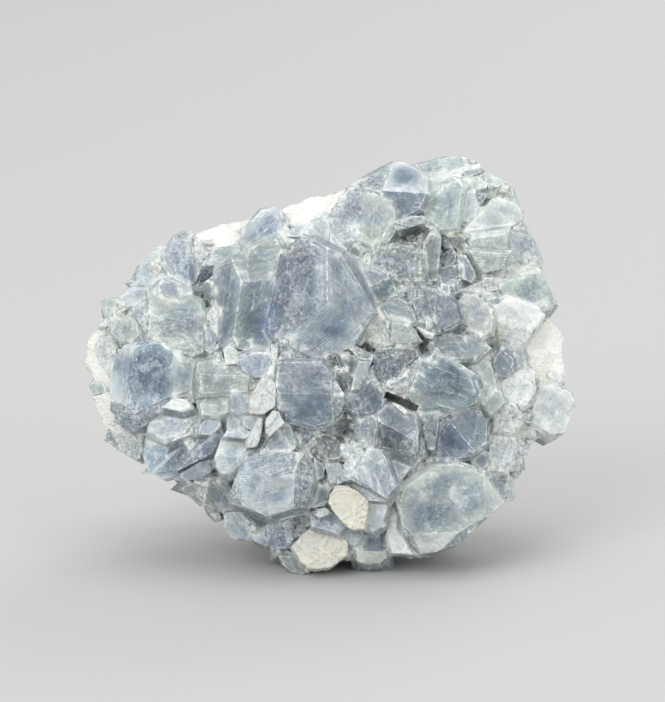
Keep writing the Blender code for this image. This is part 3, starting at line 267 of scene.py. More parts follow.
middle = {
    "yellowBlock": (7, -5, 10, [(0, "yellowGreen", 0.4, "frosted", [(-34, 74.3), (-31.3, 75.3),
            (-28.5, 72.8), (-28.5, 69.5), (-33, 69)])]),
    "greyBit": (6, 0, 0, [(0, "greyBlue", 0.5, "glassy", [(-36.7, 73), (-34.5, 73), (-33.5, 70),
            (-36, 69.7)])]),
    "lavenderLens": (7, -3, -10, [(0, "lavender", 0.45, "frosted", [(-29, 72), (-25, 73.2),
            (-20, 72.8), (-18.4, 71), (-18.6, 68), (-21, 65), (-24, 64.8), (-27.5, 67.5)])]),
    "creamSeam": (6, 0, 0, [(0, "cream", 0.2, "granular", [(-18.6, 75.8), (-16.4, 75.5),
            (-16.3, 73.5), (-17.4, 65.5), (-18.4, 65.5)])]),
    "pocketPrism": (0, 0, 5, [(0, "greyBlue", 0.5, "glassy", [(-40.5, 83), (-37.5, 81.5), (-36, 77),
            (-37.5, 73.2), (-39.6, 74.8)])]),
    "granularStrip": (2, -5, 5, [(0, "rock", 0.2, "granular", [(-39.8, 84.5), (-37.5, 88),
            (-35.5, 90), (-34.3, 84), (-33.8, 76), (-36, 77.5)])]),
    "tiltedBand": (3, -5, 38, [(0, "tealGrey", 0.5, "glassy", [(-41.5, 100.8), (-38.5, 106),
            (-31, 107.8), (-27.5, 106.3), (-25.8, 104.9), (-34, 101.6)])]),
    "whiteSeam": (2, 5, 10, [(0, "white", 0.2, "granular", [(-44, 111), (-42.8, 97), (-40.5, 100.8),
            (-38.7, 106)])]),
    "tallBlock": (6, -3, -2, [(0, "tealGrey", 0.75, "glassy", [(-28, 95.5), (-30.6, 79),
            (-28.5, 74), (-19.5, 73.5), (-12, 90), (-13.5, 97)]),
        (35, "greenGrey", 0.6, "banded", [(-28, 95.5), (-13.5, 97), (-14.3, 104), (-17, 109.3),
            (-24.5, 105.3)]),
        (48, "greyBlue", 0.6, "glassy", [(-28, 95.5), (-30.6, 79), (-34.2, 75), (-35, 84),
            (-36.7, 94), (-36.3, 100.5), (-31, 102.5)])]),
    "whitePlateTop": (8, -10, 20, [(0, "rock", 0.05, "chalky", [(-26.5, 103.8), (-24.8, 102),
            (-26.5, 96.5), (-28, 96), (-28.8, 98.5)])]),
    "greatPrism": (12, -19, 2, [(0, "slateLavender", 0.75, "glassy", [(-0.8, 105.2), (-0.4, 88.8),
            (-16, 75.6), (-19.6, 80), (-14.3, 105.5), (-9, 109.8)]),
        (40, "greyBlue", 0.65, "glassy", [(-0.8, 105.2), (3, 103.5), (7.5, 96), (13.2, 85.7),
            (7, 77.2), (-0.4, 88.8)]),
        (33, "paleBlue", 0.5, "grooved", [(-0.4, 88.8), (7, 77.2), (-2.3, 71.5), (-7, 70),
            (-15, 73.8), (-16, 75.6)])]),
    "lowPrism": (6, 2, 10, [(0, "slateLavender", 0.75, "frosted", [(-16, 69.7), (-2.5, 70),
            (2, 64.5), (5, 59.5), (-17, 60)]),
        (30, "slate", 0.65, "glassy", [(-17, 60), (5, 59.5), (3.8, 54), (1, 51), (-5, 49.5),
            (-12, 51.5), (-16.5, 55.5)])]),
    "slatePrism": (2, -12, 0, [(0, "pitch", 0.9, "glassy", [(-2.5, 70.5), (-0.5, 72.8), (2, 72.8),
            (6.8, 60.8), (5, 60.5)]),
        (30, "deepSmoke", 0.9, "glassy", [(2, 72.8), (9.5, 71.8), (9.8, 69), (8, 64.5),
            (6.8, 60.8)])]),
    "lightRidge": (3, 20, 0, [(0, "greyBlue", 0.5, "frosted", [(10, 70.3), (14, 70.3), (11.5, 66.3),
            (9, 61), (7, 60.7), (8.3, 66)])]),
    "streakedRoof": (2, 10, 20, [(0, "deepSmoke", 0.6, "grooved", [(4.8, 75.8), (6.5, 76),
            (14.3, 72.3), (14, 70.3), (10, 70.8)])]),
    "tealGap": (-1, 0, 0, [(0, "deepTeal", 0.8, "glassy", [(7.5, 77.5), (12.8, 84.5), (12.5, 77),
            (10, 75)])]),
    "creamKnob": (1, 0, 5, [(0, "cream", 0.25, "granular", [(12.6, 84), (16, 85.3), (18.3, 83.5),
            (19.3, 79), (19, 75.2), (16.3, 74.5), (13, 77), (12.4, 80)])]),
    "crackedBlue": (2, 0, 5, [(0, "slate", 0.9, "glassy", [(5.5, 57), (9, 61.5), (14.5, 69.5),
            (17.4, 57), (17, 54.7), (10, 53), (5.7, 55)])]),
    "speckledPrism": (4, -10, 8, [(0, "deepSmoke", 0.7, "granular", [(15, 74), (19.5, 74.8),
            (24, 74.5), (24.5, 66.5), (20, 61.5), (16, 63.5)]),
        (30, "pitch", 0.8, "glassy", [(24, 74.5), (28, 74), (29.6, 71), (27, 64), (24.5, 66.5)])]),
    "beigeSill": (4.5, 0, -15, [(0, "steel", 0.5, "frosted", [(16, 61.3), (20, 64), (25, 65.5),
            (26.3, 62.3), (25, 59.8), (18.5, 59.2)])]),
    "beigeBlock": (4.5, 3, -5, [(0, "oliveGrey", 0.45, "frosted", [(18, 83.3), (25, 81.6),
            (28.3, 77), (25.8, 76), (20.5, 76.3), (19, 79)])]),
    "greyCap": (3, 0, 25, [(0, "smoke", 0.65, "glassy", [(15.8, 86), (18, 89.8), (22.5, 90.5),
            (26.5, 88), (28.3, 83.2), (25, 82.3), (18.3, 84.2)])]),
    "whiteChipLine": (5, 0, 10, [(0, "white", 0.05, "chalky", [(27.8, 81.5), (34, 79), (33.3, 77.3),
            (31, 78)])]),
    "sparklingPrism": (5, -8, 4, [(0, "smoke", 0.7, "granular", [(26, 94.5), (31, 94.2), (34, 93.2),
            (37, 80), (34.5, 79.8), (28.7, 83.5), (27, 88)]),
        (24, "slate", 0.8, "glassy", [(34, 93.2), (36, 92.3), (41, 88.5), (42.3, 82.5),
            (39.5, 80.3), (37, 80)])]),
    "greyStrip": (3, 15, 5, [(0, "slate", 0.6, "glassy", [(40.8, 88.5), (42.5, 90.5), (43.6, 82),
            (42, 81), (40.5, 84)])]),
    "underLedge": (0, 0, 15, [(0, "olive", 0.4, "granular", [(3, 104), (12.5, 103.5), (11, 100.7),
            (6, 100)])]),
    "slateRoof": (2, 5, 10, [(0, "slateLavender", 0.6, "glassy", [(6.5, 100.3), (11.5, 100.5),
            (19.8, 97.2), (16, 95), (12, 92.5), (9.5, 92)])]),
    "tealRoof": (1, 8, 0, [(0, "deepTeal", 0.75, "glassy", [(10.3, 91), (13, 94.5), (19.5, 97),
            (22, 94), (22.6, 91.2), (12.5, 88)])]),
}

top = {
    "icyCrown": (3, -12, 20, [(0, "ice", 0.5, "glassy", [(-28.4, 108.8), (-26, 105.5), (-17, 109.8),
            (-14.8, 112), (-15.3, 119), (-18, 120.2), (-22, 119.3), (-25, 116)])]),
    "smallCrownA": (2, -5, 25, [(0, "ice", 0.45, "glassy", [(-14.3, 110.5), (-12, 114), (-6, 115),
            (-8.8, 110.3)])]),
    "smallCrownB": (3, -5, 20, [(0, "ice", 0.45, "glassy", [(-9, 110.5), (-5, 115), (-1, 116.3),
            (0.8, 112.5), (-0.8, 107.5), (-5, 109)])]),
    "smallCrownC": (3, 5, 0, [(0, "paleBlue", 0.5, "glassy", [(0.5, 112), (6, 106.3), (3, 104),
            (0, 105.5)])]),
    "whiteCorner": (5, 0, 20, [(0, "white", 0.15, "granular", [(-16, 109.5), (-14.3, 110.3),
            (-10.5, 109.5), (-14.3, 105.5)])]),
    "greenCrown": (4, -15, 12, [(0, "ice", 0.45, "granular", [(0.5, 112), (0.5, 118.5), (7, 126),
            (11.5, 126.5), (10, 109.5), (3, 109)]),
        (28, "greenWhite", 0.4, "frosted", [(11.5, 126.5), (16, 125), (20.2, 118.5), (20.3, 113),
            (16, 109), (10, 109.5)]),
        (40, "green", 0.5, "glassy", [(3, 109), (10, 109.5), (14, 106.5), (10, 104.8), (6, 105)])]),
    "topDome": (5, 5, 0, [(0, "blueLavender", 0.8, "glassy", [(12.5, 122.5), (16.5, 125.6),
            (31.8, 124.8), (29.5, 120), (24, 116.3), (20.2, 115.6)]),
        (38, "ice", 0.4, "frosted", [(16.5, 125.6), (31.8, 124.8), (32, 128.5), (29, 132.5),
            (25, 135), (21.5, 135.2), (14.5, 131)])]),
    "topLeftCap": (1, -10, 40, [(0, "white", 0.3, "frosted", [(7, 127.5), (10, 129.5), (15.5, 132),
            (16.8, 126), (12.3, 123)])]),
    "archA": (4, -5, 10, [(0, "oliveGrey", 0.5, "banded", [(14.5, 107.5), (20, 114.8), (22, 113),
            (18.2, 106.8)])]),
    "archB": (5, 0, 15, [(0, "oliveGrey", 0.5, "banded", [(20, 114.8), (25, 117.4), (31, 117.4),
            (31, 115), (25, 113.6), (21.5, 112.5)])]),
    "archC": (4.5, 10, 15, [(0, "oliveGrey", 0.5, "banded", [(31, 117.4), (36.8, 113), (35.2, 112),
            (31, 114)])]),
    "speckledRoof": (2, 0, 8, [(0, "oliveGrey", 0.6, "granular", [(13, 104.5), (15.5, 106.8),
            (25, 107), (29.5, 107.5), (29.8, 96.5), (24, 95.3), (20.5, 97), (12.5, 100.8)])]),
    "narrowPrism": (5, 6, 0, [(0, "smoke", 0.7, "glassy", [(30.5, 108.5), (33, 112.5), (34.5, 113),
            (36.5, 110), (36, 105), (35, 95.5), (30.5, 95.5)])]),
    "ledgeA": (-1, 0, 25, [(0, "tealGrey", 0.4, "grooved", [(28.5, 134.7), (37, 137), (40, 137.6),
            (45, 137.5), (48.7, 136), (46, 134), (31.3, 130.3)])]),
    "ledgeB": (0.5, 0, 15, [(0, "white", 0.3, "grooved", [(31.5, 131.4), (49.5, 135.4), (50.2, 134),
            (32.3, 127.8)])]),
    "ledgeC": (2, 0, 15, [(0, "white", 0.3, "grooved", [(32.2, 129), (50, 134.2), (50.8, 132.6),
            (44, 130), (32.5, 125.7)])]),
    "paleSummit": (1, 15, 28, [(0, "greenWhite", 0.4, "frosted", [(44, 130), (50.5, 132.7),
            (57, 130), (60.4, 127), (61.7, 122), (42.7, 125.6)])]),
    "greySummit": (3, -5, 8, [(0, "green", 0.4, "frosted", [(32.5, 125.6), (43, 129.7), (43.8, 128),
            (41.5, 113.3), (36, 113), (31, 117.3), (30, 120.2)])]),
    "blueSummit": (3, 8, 5, [(0, "ice", 0.45, "grooved", [(42.8, 125.4), (52, 125.2), (50, 121),
            (45, 115.5), (42, 114), (41.5, 119)])]),
    "whiteShoulder": (4, 12, 15, [(0, "white", 0.35, "frosted", [(45, 115.5), (50, 120.8),
            (57, 123.5), (61.7, 121.5), (64, 119.5), (63.8, 115.5), (58, 111.8), (45, 110.4),
            (44.4, 113)])]),
    "rightShoulder": (1, 30, 5, [(0, "ice", 0.3, "granular", [(58, 111.5), (62, 116), (64.5, 115),
            (67, 112), (69.5, 105.5), (70.3, 100.3), (65, 101), (59.5, 103.5), (57.8, 107.5)])]),
    "paleUnderWhite": (4.5, 10, -15, [(0, "greenWhite", 0.4, "frosted", [(45.5, 110), (57.8, 111.5),
            (58, 106.5), (54, 105), (46, 106.5)])]),
    "featheredGreen": (3, 8, -10, [(0, "green", 0.5, "grooved", [(46, 105.8), (58, 105),
            (56.5, 100.5), (53.5, 98.5), (50, 99.5)])]),
    "oliveHollow": (0, 0, 0, [(0, "olive", 0.7, "glassy", [(38, 111.3), (44.4, 110.3),
            (45.6, 106.7), (44.5, 105), (42, 106), (39.7, 109)])]),
    "hollowBitA": (0, -10, 10, [(0, "darkSlate", 0.7, "glassy", [(36.5, 104.5), (40, 107),
            (41.5, 105), (40.5, 101.5), (37, 101.5)])]),
    "hollowBitB": (0, 5, 10, [(0, "slate", 0.7, "glassy", [(41.5, 104.5), (44.5, 104.8), (48, 98),
            (46.5, 95.5), (43, 97)])]),
    "hollowBitC": (-1, 0, 20, [(0, "darkSlate", 0.7, "glassy", [(35.3, 99.5), (38, 101.5),
            (42, 101), (43, 98.5), (40, 96), (36, 96)])]),
}

right = {
    "greenSpur": (2, 25, 10, [(0, "green", 0.4, "frosted", [(55, 93.7), (57, 96), (69.5, 99),
            (72.3, 94), (74.3, 90), (73.3, 88), (68, 87.5), (60, 90.5)])]),
    "creamRim": (2, 20, 25, [(0, "cream", 0.2, "granular", [(54.5, 97.8), (58, 101), (65, 101.5),
            (70.2, 100), (69, 98.8), (62, 97.5)])]),
    "whiteGreen": (6, 8, 6, [(0, "rock", 0.1, "frosted", [(51, 87.5), (53, 90.5), (57, 90.8),
            (67, 87.2), (69, 85), (67, 80), (53, 82.5)]),
        (30, "rock", 0.0, "chalky", [(53, 82.5), (67, 80), (63, 75.7), (58, 73.9), (52, 75.5),
            (50.9, 78)])]),
    "lavenderBeige": (4, -5, 8, [(0, "beige", 0.35, "frosted", [(42.6, 90.5), (45, 92.7),
            (49, 92.2), (51.3, 89.5), (53, 84), (52.3, 79.5), (49, 78.2), (44, 82)])]),
    "yellowSill": (1, 5, 25, [(0, "beige", 0.3, "granular", [(43, 93.5), (47, 95.3), (54, 97),
            (55, 93.5), (50, 92.2)])]),
    "brownCrust": (2, 0, 0, [(0, "brownCream", 0.2, "granular", [(41, 79.5), (44, 81.5), (50, 78),
            (51.3, 75.7), (49, 74), (44, 77)])]),
    "tealBand": (4, 5, 22, [(0, "steel", 0.75, "banded", [(33, 78), (40, 79.3), (46, 77.5),
            (50.5, 74.5), (47, 71.3), (40, 71.2), (34, 72), (31.5, 74.5)])]),
    "deepTeal": (7, 6, -3, [(0, "deepTeal", 0.65, "glassy", [(29.5, 70.2), (45.5, 64), (48.3, 57.5),
            (45, 55.7), (31, 59.4), (26.6, 62.5)]),
        (35, "tealGrey", 0.6, "glassy", [(29.5, 70.2), (33, 72), (40, 70.8), (46.5, 66.5),
            (45.5, 64)]),
        (25, "greenGrey", 0.6, "glassy", [(26.6, 62.5), (31, 59.4), (29.8, 55.3), (28, 54.5),
            (25.2, 59.3)])]),
    "paleLobeA": (3, 15, 5, [(0, "green", 0.4, "frosted", [(45, 71), (51, 70.8), (54.3, 66),
            (54.8, 61.5), (49.3, 57), (46.3, 64)])]),
    "paleLobeB": (4, 12, -12, [(0, "greenWhite", 0.4, "frosted", [(49.3, 57), (54.8, 61.5),
            (57, 58), (55.7, 54.2), (52, 53), (50, 55)])]),
    "whiteBitC": (2, 10, 15, [(0, "white", 0.1, "chalky", [(45.5, 73.5), (50, 74.3), (52.5, 71),
            (50, 69.3), (46, 70.5)])]),
    "slotSill": (5, 0, 25, [(0, "steel", 0.7, "glassy", [(8.6, 55.2), (17, 56.8), (28, 53.3),
            (28.9, 48), (26.6, 45.3), (15.5, 51.2)]),
        (30, "deepSmoke", 0.85, "glassy", [(15.5, 51.2), (26.6, 45.3), (26.3, 41), (20, 42)]),
        (32, "pitch", 0.9, "glassy", [(8.6, 55.2), (15.5, 51.2), (20, 42), (15, 43.7), (10, 44.6),
            (8.3, 48)])]),
    "slotChip": (6, 0, 20, [(0, "cream", 0.1, "chalky", [(20.2, 56.6), (21.5, 57.4), (25.4, 54),
            (24.5, 53)])]),
    "greyUpright": (4, -8, 3, [(0, "deepSmoke", 0.7, "glassy", [(31, 58.5), (35, 56), (35.2, 50),
            (33.8, 41.5), (31.7, 42), (31, 47.5), (29.5, 54)])]),
    "stripedWedge": (3, -5, 0, [(0, "greyBlue", 0.5, "granular", [(29.3, 47.3), (31, 46.5),
            (31.2, 39.5), (27.2, 36), (28.3, 41)])]),
    "bluePrism": (6, 18, 5, [(0, "slate", 0.7, "glassy", [(38.3, 51.4), (41, 55.7), (47.5, 55.2),
            (51, 51), (50.6, 42.5), (47.7, 40.2)]),
        (38, "blue", 0.85, "glassy", [(38.3, 51.4), (47.7, 40.2), (41, 38.8), (34.2, 41),
            (35.2, 50)]),
        (30, "greyBlue", 0.6, "glassy", [(35.6, 56), (41, 55.7), (38.3, 51.4), (35.2, 50)])]),
    "paleFlank": (2, 12, 3, [(0, "white", 0.2, "granular", [(51.3, 42), (51.8, 51), (60, 47),
            (61.5, 44.5), (57.5, 34.3), (52, 35)])]),
    "stepA": (1, 25, 5, [(0, "pink", 0.25, "frosted", [(58.3, 39.5), (59.8, 44), (61.7, 45.3),
            (63, 44.7), (65.2, 41.2), (64, 39.6), (61, 39)])]),
    "stepB": (1, 25, 0, [(0, "pink", 0.25, "frosted", [(57.5, 34.2), (57.8, 39.5), (61.7, 39.3),
            (62.4, 35.3), (62, 34.2)])]),
    "greyFlank": (3, 5, 0, [(0, "greyBlue", 0.6, "glassy", [(45, 36.8), (47, 40.3), (50.5, 42),
            (51.5, 35.5), (49, 34.7)])]),
    "rightPaddle": (4, 12, 5, [(0, "white", 0.3, "frosted", [(66, 57), (68.3, 61.8), (74, 62),
            (80, 59.5), (80, 54.6), (76.8, 46.8), (74, 45.5), (65.5, 50.5)])]),
    "slateBitA": (3, 5, 5, [(0, "slate", 0.7, "glassy", [(63.2, 53.5), (65, 54.7), (66.8, 53),
            (65.7, 50), (63, 50.3)])]),
    "greyNotch": (0, 10, -10, [(0, "greyBlue", 0.6, "glassy", [(62.5, 48), (66, 49.5), (68, 48.4),
            (65.5, 46.4), (63.2, 44.7)])]),
    "whiteCrust": (2, 10, 10, [(0, "rock", 0.1, "granular", [(55, 63.5), (57.5, 65.5), (63, 67),
            (68, 62.3), (66.3, 57.3), (63, 55.3), (58, 57.7), (55.2, 61)])]),
    "creamCrust": (3, 5, 0, [(0, "crust", 0.1, "granular", [(53.5, 51), (57, 55.5), (59.5, 57),
            (62.5, 55), (61.8, 50), (59, 47.2), (53.3, 47.6)])]),
    "slateKnob": (3, 0, 0, [(0, "slate", 0.7, "glassy", [(53.7, 71.5), (56, 73.8), (59.6, 70.7),
            (59.7, 67), (57.5, 65), (54.8, 65.4), (53.3, 68)])]),
    "greyBitB": (2, 10, 0, [(0, "greyBlue", 0.6, "glassy", [(59.8, 73), (62, 74.3), (63.3, 68.5),
            (60.3, 67.5)])]),
}

bottom = {
    "greatSlab": (9, 5, 2, [(0, "greenWhite", 0.6, "frosted", [(24.8, 29.8), (36.3, 37.3), (42, 38),
            (50, 34.5), (50.3, 20.5), (43.5, 15), (25.5, 14.6), (22.3, 22)]),
        (45, "rock", 0.1, "glassy", [(24.8, 29.8), (36.3, 37.3), (35.5, 39.7), (23, 31)]),
        (42, "rock", 0.05, "frosted", [(25.5, 14.6), (43.5, 15), (41.4, 11), (35, 8.6),
            (26.3, 7.3)]),
        (35, "greenWhite", 0.3, "glassy", [(50, 34.5), (50.3, 20.5), (52, 20.4), (56.5, 24.2),
            (57.2, 28), (55.5, 32.8)])]),
    "slabFlank": (5, -15, 0, [(0, "white", 0.1, "frosted", [(18.3, 16.5), (19, 25.5), (22.2, 26),
            (25.3, 15), (26.3, 7.8), (20.6, 8), (19.7, 11)])]),
    "rightFoot": (1, 20, 0, [(0, "ice", 0.4, "frosted", [(55.5, 32.7), (59.4, 34), (60.8, 26.7),
            (59, 24.5), (56.6, 24.1), (55, 28)])]),
    "featheredPrism": (9, -5, 14, [(0, "slate", 0.6, "grooved", [(-29.5, 31), (-25.5, 39.8),
            (-19, 41.3), (-11, 41.2), (-9.8, 35)]),
        (32, "ice", 0.35, "grooved", [(-29.5, 31), (-9.8, 35), (-6.5, 28.5), (-9, 25.3), (-13, 24),
            (-19.5, 21.8), (-28, 25.5), (-30.5, 26.5)]),
        (40, "white", 0.35, "grooved", [(-9.8, 35), (-11, 41.2), (-6.8, 40.3), (-5, 37), (-4.9, 32),
            (-6.5, 28.5)])]),
    "greyWing": (5, 0, 15, [(0, "greyBlue", 0.5, "glassy", [(-22.5, 42), (-20, 45), (-16, 46.8),
            (-13.7, 44.3), (-11.5, 41), (-20, 40.8)])]),
    "tealUpright": (3, 10, 0, [(0, "teal", 0.5, "glassy", [(-15.5, 50.5), (-13, 51.5), (-11, 46),
            (-10.5, 42.5), (-12, 41), (-14, 45)])]),
    "darkSide": (0, 15, 0, [(0, "deepTeal", 0.8, "glassy", [(-5, 40), (-2.5, 40.2), (-0.8, 37.3),
            (-1.8, 33), (-4.5, 31.3)])]),
    "greySide": (2, 5, 0, [(0, "greyBlue", 0.6, "glassy", [(-5, 30.8), (-1.2, 30.3), (-1.2, 25),
            (-4, 22.7), (-9.3, 24)])]),
    "brownPrism": (0, -5, 10, [(0, "darkBrown", 0.8, "glassy", [(-5, 47.5), (0, 46.8), (4.5, 43.5),
            (4.3, 39.5), (-1, 38.3), (-5.3, 41.3)])]),
    "sparkleBit": (-1, 0, 10, [(0, "darkSlate", 0.5, "granular", [(-10.3, 48.5), (-6, 50),
            (-3, 49.3), (-5.2, 43.5), (-9.3, 43)])]),
    "pinkGrey": (1, 0, 0, [(0, "steel", 0.4, "frosted", [(-1.5, 37.5), (2, 38.8), (4.6, 37),
            (3.5, 31), (0.3, 30.7)])]),
    "groovedPrism": (7, -3, 3, [(0, "greyBlue", 0.5, "grooved", [(7, 32.2), (9.3, 38.3), (12, 42),
            (15, 43), (18, 39.5), (21.5, 29.5), (19, 26), (11, 30.3)])]),
    "paleBlueSide": (4, -20, 8, [(0, "lavender", 0.5, "glassy", [(2.5, 30.7), (4, 36), (7, 40.3),
            (11, 42), (9.3, 38), (6.9, 32.3)])]),
    "groovedSill": (4.5, 0, 15, [(0, "lavender", 0.5, "grooved", [(7.5, 30.7), (12, 30.2),
            (17.5, 28), (18.5, 25), (12.3, 25.4), (9, 28)])]),
    "paleColumn": (5, 0, -5, [(0, "ice", 0.3, "glassy", [(12.3, 25.4), (16.5, 28), (19.2, 25.5),
            (19, 20), (18.3, 17), (15.5, 15), (12, 16.6), (11.8, 21)])]),
    "greyTriangle": (4, 10, 5, [(0, "lavenderGrey", 0.5, "glassy", [(18.7, 39), (25.5, 40.5),
            (26.5, 36), (24, 33.5), (22, 31), (20, 34)])]),
    "darkFoot": (3, 0, 20, [(0, "darkSlate", 0.7, "glassy", [(7.8, 9), (11.3, 15.5), (18.2, 16),
            (19.9, 10.3), (18.3, 8.5)]),
        (45, "cream", 0.4, "frosted", [(7.8, 9), (18.3, 8.5), (18.5, 6.2), (16.5, 4.6), (13, 4.3),
            (9.5, 5), (8, 6.5)])]),
    "lavenderLow": (3.5, -3, 12, [(0, "lavender", 0.55, "glassy", [(-8, 21.3), (2.7, 21.2),
            (5.5, 17.5), (3, 14.6), (-6, 17.2)])]),
    "greyLow": (3, 5, 0, [(0, "greyBlue", 0.55, "glassy", [(5.5, 17.5), (11, 16.2), (11.2, 13),
            (8, 10.3), (6.3, 11.5), (3, 14.6)])]),
    "whiteFlake": (5, 0, 15, [(0, "white", 0.15, "chalky", [(-5.5, 21.4), (-4, 22.6), (-1, 23),
            (1, 21.4), (-3, 19.7)])]),
    "tealUnder": (2, -5, -8, [(0, "deepSmoke", 0.85, "glassy", [(-28.6, 24.3), (-17, 21.8),
            (-16.5, 18), (-20, 16.3), (-25, 17.5), (-27.7, 20)])]),
    "slateUnder": (1.5, 0, 5, [(0, "slate", 0.75, "glassy", [(-17, 21.8), (-12, 24), (-9.5, 23.8),
            (-8.3, 22), (-11, 20), (-16.5, 18.5)])]),
    "lavenderUnder": (3, 0, -5, [(0, "lavenderGrey", 0.5, "granular", [(-20, 16.6), (-16.5, 19.6),
            (-12, 19.6), (-11.2, 15), (-12.3, 10), (-15, 9), (-19, 10.5)])]),
    "footA": (2, -10, -10, [(0, "lavenderGrey", 0.5, "glassy", [(-24.6, 12), (-23.5, 16),
            (-20, 16.3), (-19.3, 11), (-20.5, 10)])]),
    "footB": (2, -5, -10, [(0, "lavenderGrey", 0.5, "glassy", [(-19.3, 10.7), (-18, 6),
            (-16.6, 6.7), (-14.5, 8.8)])]),
    "lowestFoot": (6, -5, -10, [(0, "greenGrey", 0.6, "glassy", [(-16.5, 7), (-13.5, 9), (-11, 7.2),
            (-5, 3), (-7.5, 0.3), (-9.3, 0), (-12, 1.5), (-15, 4)])]),
}

crystalShape = {
    "set back": 0.05,        # from the faces of the plain solid
    "root": 12,              # length behind the front face
    "skirt": 1.2,            # reach of the slanting facets round the faces, within the cluster
    "skirt turn": (38, 56),  # between the front face and those facets
    "side turn": (82, 88),   # between the front face and the sides
    "towards the viewer": 2,     # how much more the sides point there than the crystal does
    "corner turn": 64,       # between the front face and the side that cuts a sharp corner off
    "sharp corner": 75,
    "narrow": 5,             # mm across
    "edge": 0.16,            # width of the worn edges
    "chip": 1.1,             # size of the broken corners
    "chip chance": 0.45,
    "chip lean": (0.1, 0.6),     # how much a broken corner looks forward
    "chip share": (0.3, 1),      # of the chip size
    "rim reach": 3.5,            # an edge that is this near to the rim is on it
    "block": 120,
    "join": 0.02,
    "weld": 0.001,
    "nearness": 100,             # weight of a metre when a side is matched with its plane
}


def longestEdge(corners):
    edges = [(corners[i] - corners[i - 1]) for i in range(len(corners))]
    return max(edges, key=lambda edge: edge.length).normalized()


# Looks of the faces: tint, clarity, finish, and the directions across and along the grain.
# The first is the bed between the crystals, and the second the walls of the slot, which are painted
# near black as painted shade
looks = [("greyBlue", 0.55, "granular", across, upwards),
         ("pitch", 0.2, "frosted", across, upwards)]
bedLook, slotShadeLook = 0, 1

# The strips that a bevel leaves: their share of a strip's full width, the least turn of an
# edge that wears, and what is added to the look of a worn edge
wear = {"strip": 0.75, "least turn": 15, "mark": 10000}

# The cluster's outline as seen from the front
rim = [
    (-16, 5), (-9, 1), (8, 5), (18, 5), (27, 8), (41, 11), (49, 20), (59, 26), (64, 42),
    (77, 50), (79, 57), (75, 76), (71, 84), (73, 90), (66, 110), (62, 120), (57, 128), (48, 135),
    (40, 136.5), (20, 133), (0, 123), (-16, 118.5), (-38, 111.5), (-47, 110.5), (-57, 105),
    (-65, 96), (-76, 79), (-78.5, 71), (-75, 54), (-71, 46), (-55, 33), (-35, 20), (-21, 11),
]


def isInside(u, v, outline):
    inside = False
    for i, (endU, endV) in enumerate(outline):
        startU, startV = outline[i - 1]
        if (endV > v) == (startV > v):
            continue
        if u < startU + (endU - startU) * (v - startV) / (endV - startV):
            inside = not inside
    return inside


def awayFrom(u, v, outline):
    # distance from a point of the drawing to the line round an outline
    nearest = math.inf
    for i, end in enumerate(outline):
        fromU, fromV = u - outline[i - 1][0], v - outline[i - 1][1]
        longU, longV = end[0] - outline[i - 1][0], end[1] - outline[i - 1][1]
        along = (fromU * longU + fromV * longV) / (longU ** 2 + longV ** 2)
        along = min(max(along, 0), 1)
        nearest = min(nearest, math.hypot(fromU - along * longU, fromV - along * longV))
    return nearest


def isOnRim(start, end, outline):
    # whether the cluster ends just outside this edge of an outline
    middleU, middleV = (start[0] + end[0]) / 2, (start[1] + end[1]) / 2
    outU, outV = end[1] - start[1], start[0] - end[0]
    length = math.hypot(outU, outV)
    reach = crystalShape["rim reach"]
    outU, outV = outU / length * reach, outV / length * reach
    if isInside(middleU + outU / 10, middleV + outV / 10, outline):
        outU, outV = -outU, -outV
    return not isInside(middleU + outU, middleV + outV, rim)


def foldedFaces(rise, yaw, pitch, faces):
    # the front faces as (outline, place, normal), each folded back from one drawn before it
    outline = faces[0][4]
    u, v = centreOf(outline)
    flats = [(outline, sight(u, v, domeDepth(u, v) + rise), facing(yaw, pitch))]
    for angle, tint, clarity, finish, corners in faces[1:]:
        for other, place, normal in flats:
            hinge = [corner for corner in corners if corner in other]
            if len(hinge) == 2:
                break
        start, end = (onPlane(corner, place, normal) for corner in hinge)
        turned = turnedOut(start, end, normal, middleOf(corners, place), angle)
        flats.append((corners, start, turned))
    return flats


def pushedOut(start, side, everyCorner, away=0):
    # place of a side that leaves every drawn corner inside
    reach = max((point - start).dot(side) for point in everyCorner)
    return start + side * (reach + away * mm)


def edgeSides(number, flats, inner, everyCorner, chance):
    # sides behind the free edges of a face: a steep one, and inside the cluster a skirt as well
    shape = crystalShape
    corners, place, normal = flats[number]
    middle = middleOf(corners, place)
    narrow = awayFrom(*centreOf(corners), corners) * 2 < shape["narrow"]
    others = [flat[0] for flat in flats if flat[0] is not corners]
    sides = []
    for i, corner in enumerate(corners):
        edge = (corners[i - 1], corner)
        if any(edge[0] in other and edge[1] in other for other in others):
            continue
        start, end = (onPlane(point, place, normal) for point in edge)
        along = (end - start).normalized()
        outside = isOnRim(*edge, corners)
        way = towards if outside else inner
        upright = (way - along * way.dot(along)).normalized()
        turns = [(chance.uniform(*shape["side turn"]), 0)]
        if not narrow and not outside:
            turns = [(chance.uniform(*shape["skirt turn"]), 0), (turns[0][0], shape["skirt"])]
        for turn, away in turns:
            side = turnedOut(start, end, upright, start * 2 - middle, turn)
            sides.append((pushedOut(start, side, everyCorner, away), side, number))
    return sides


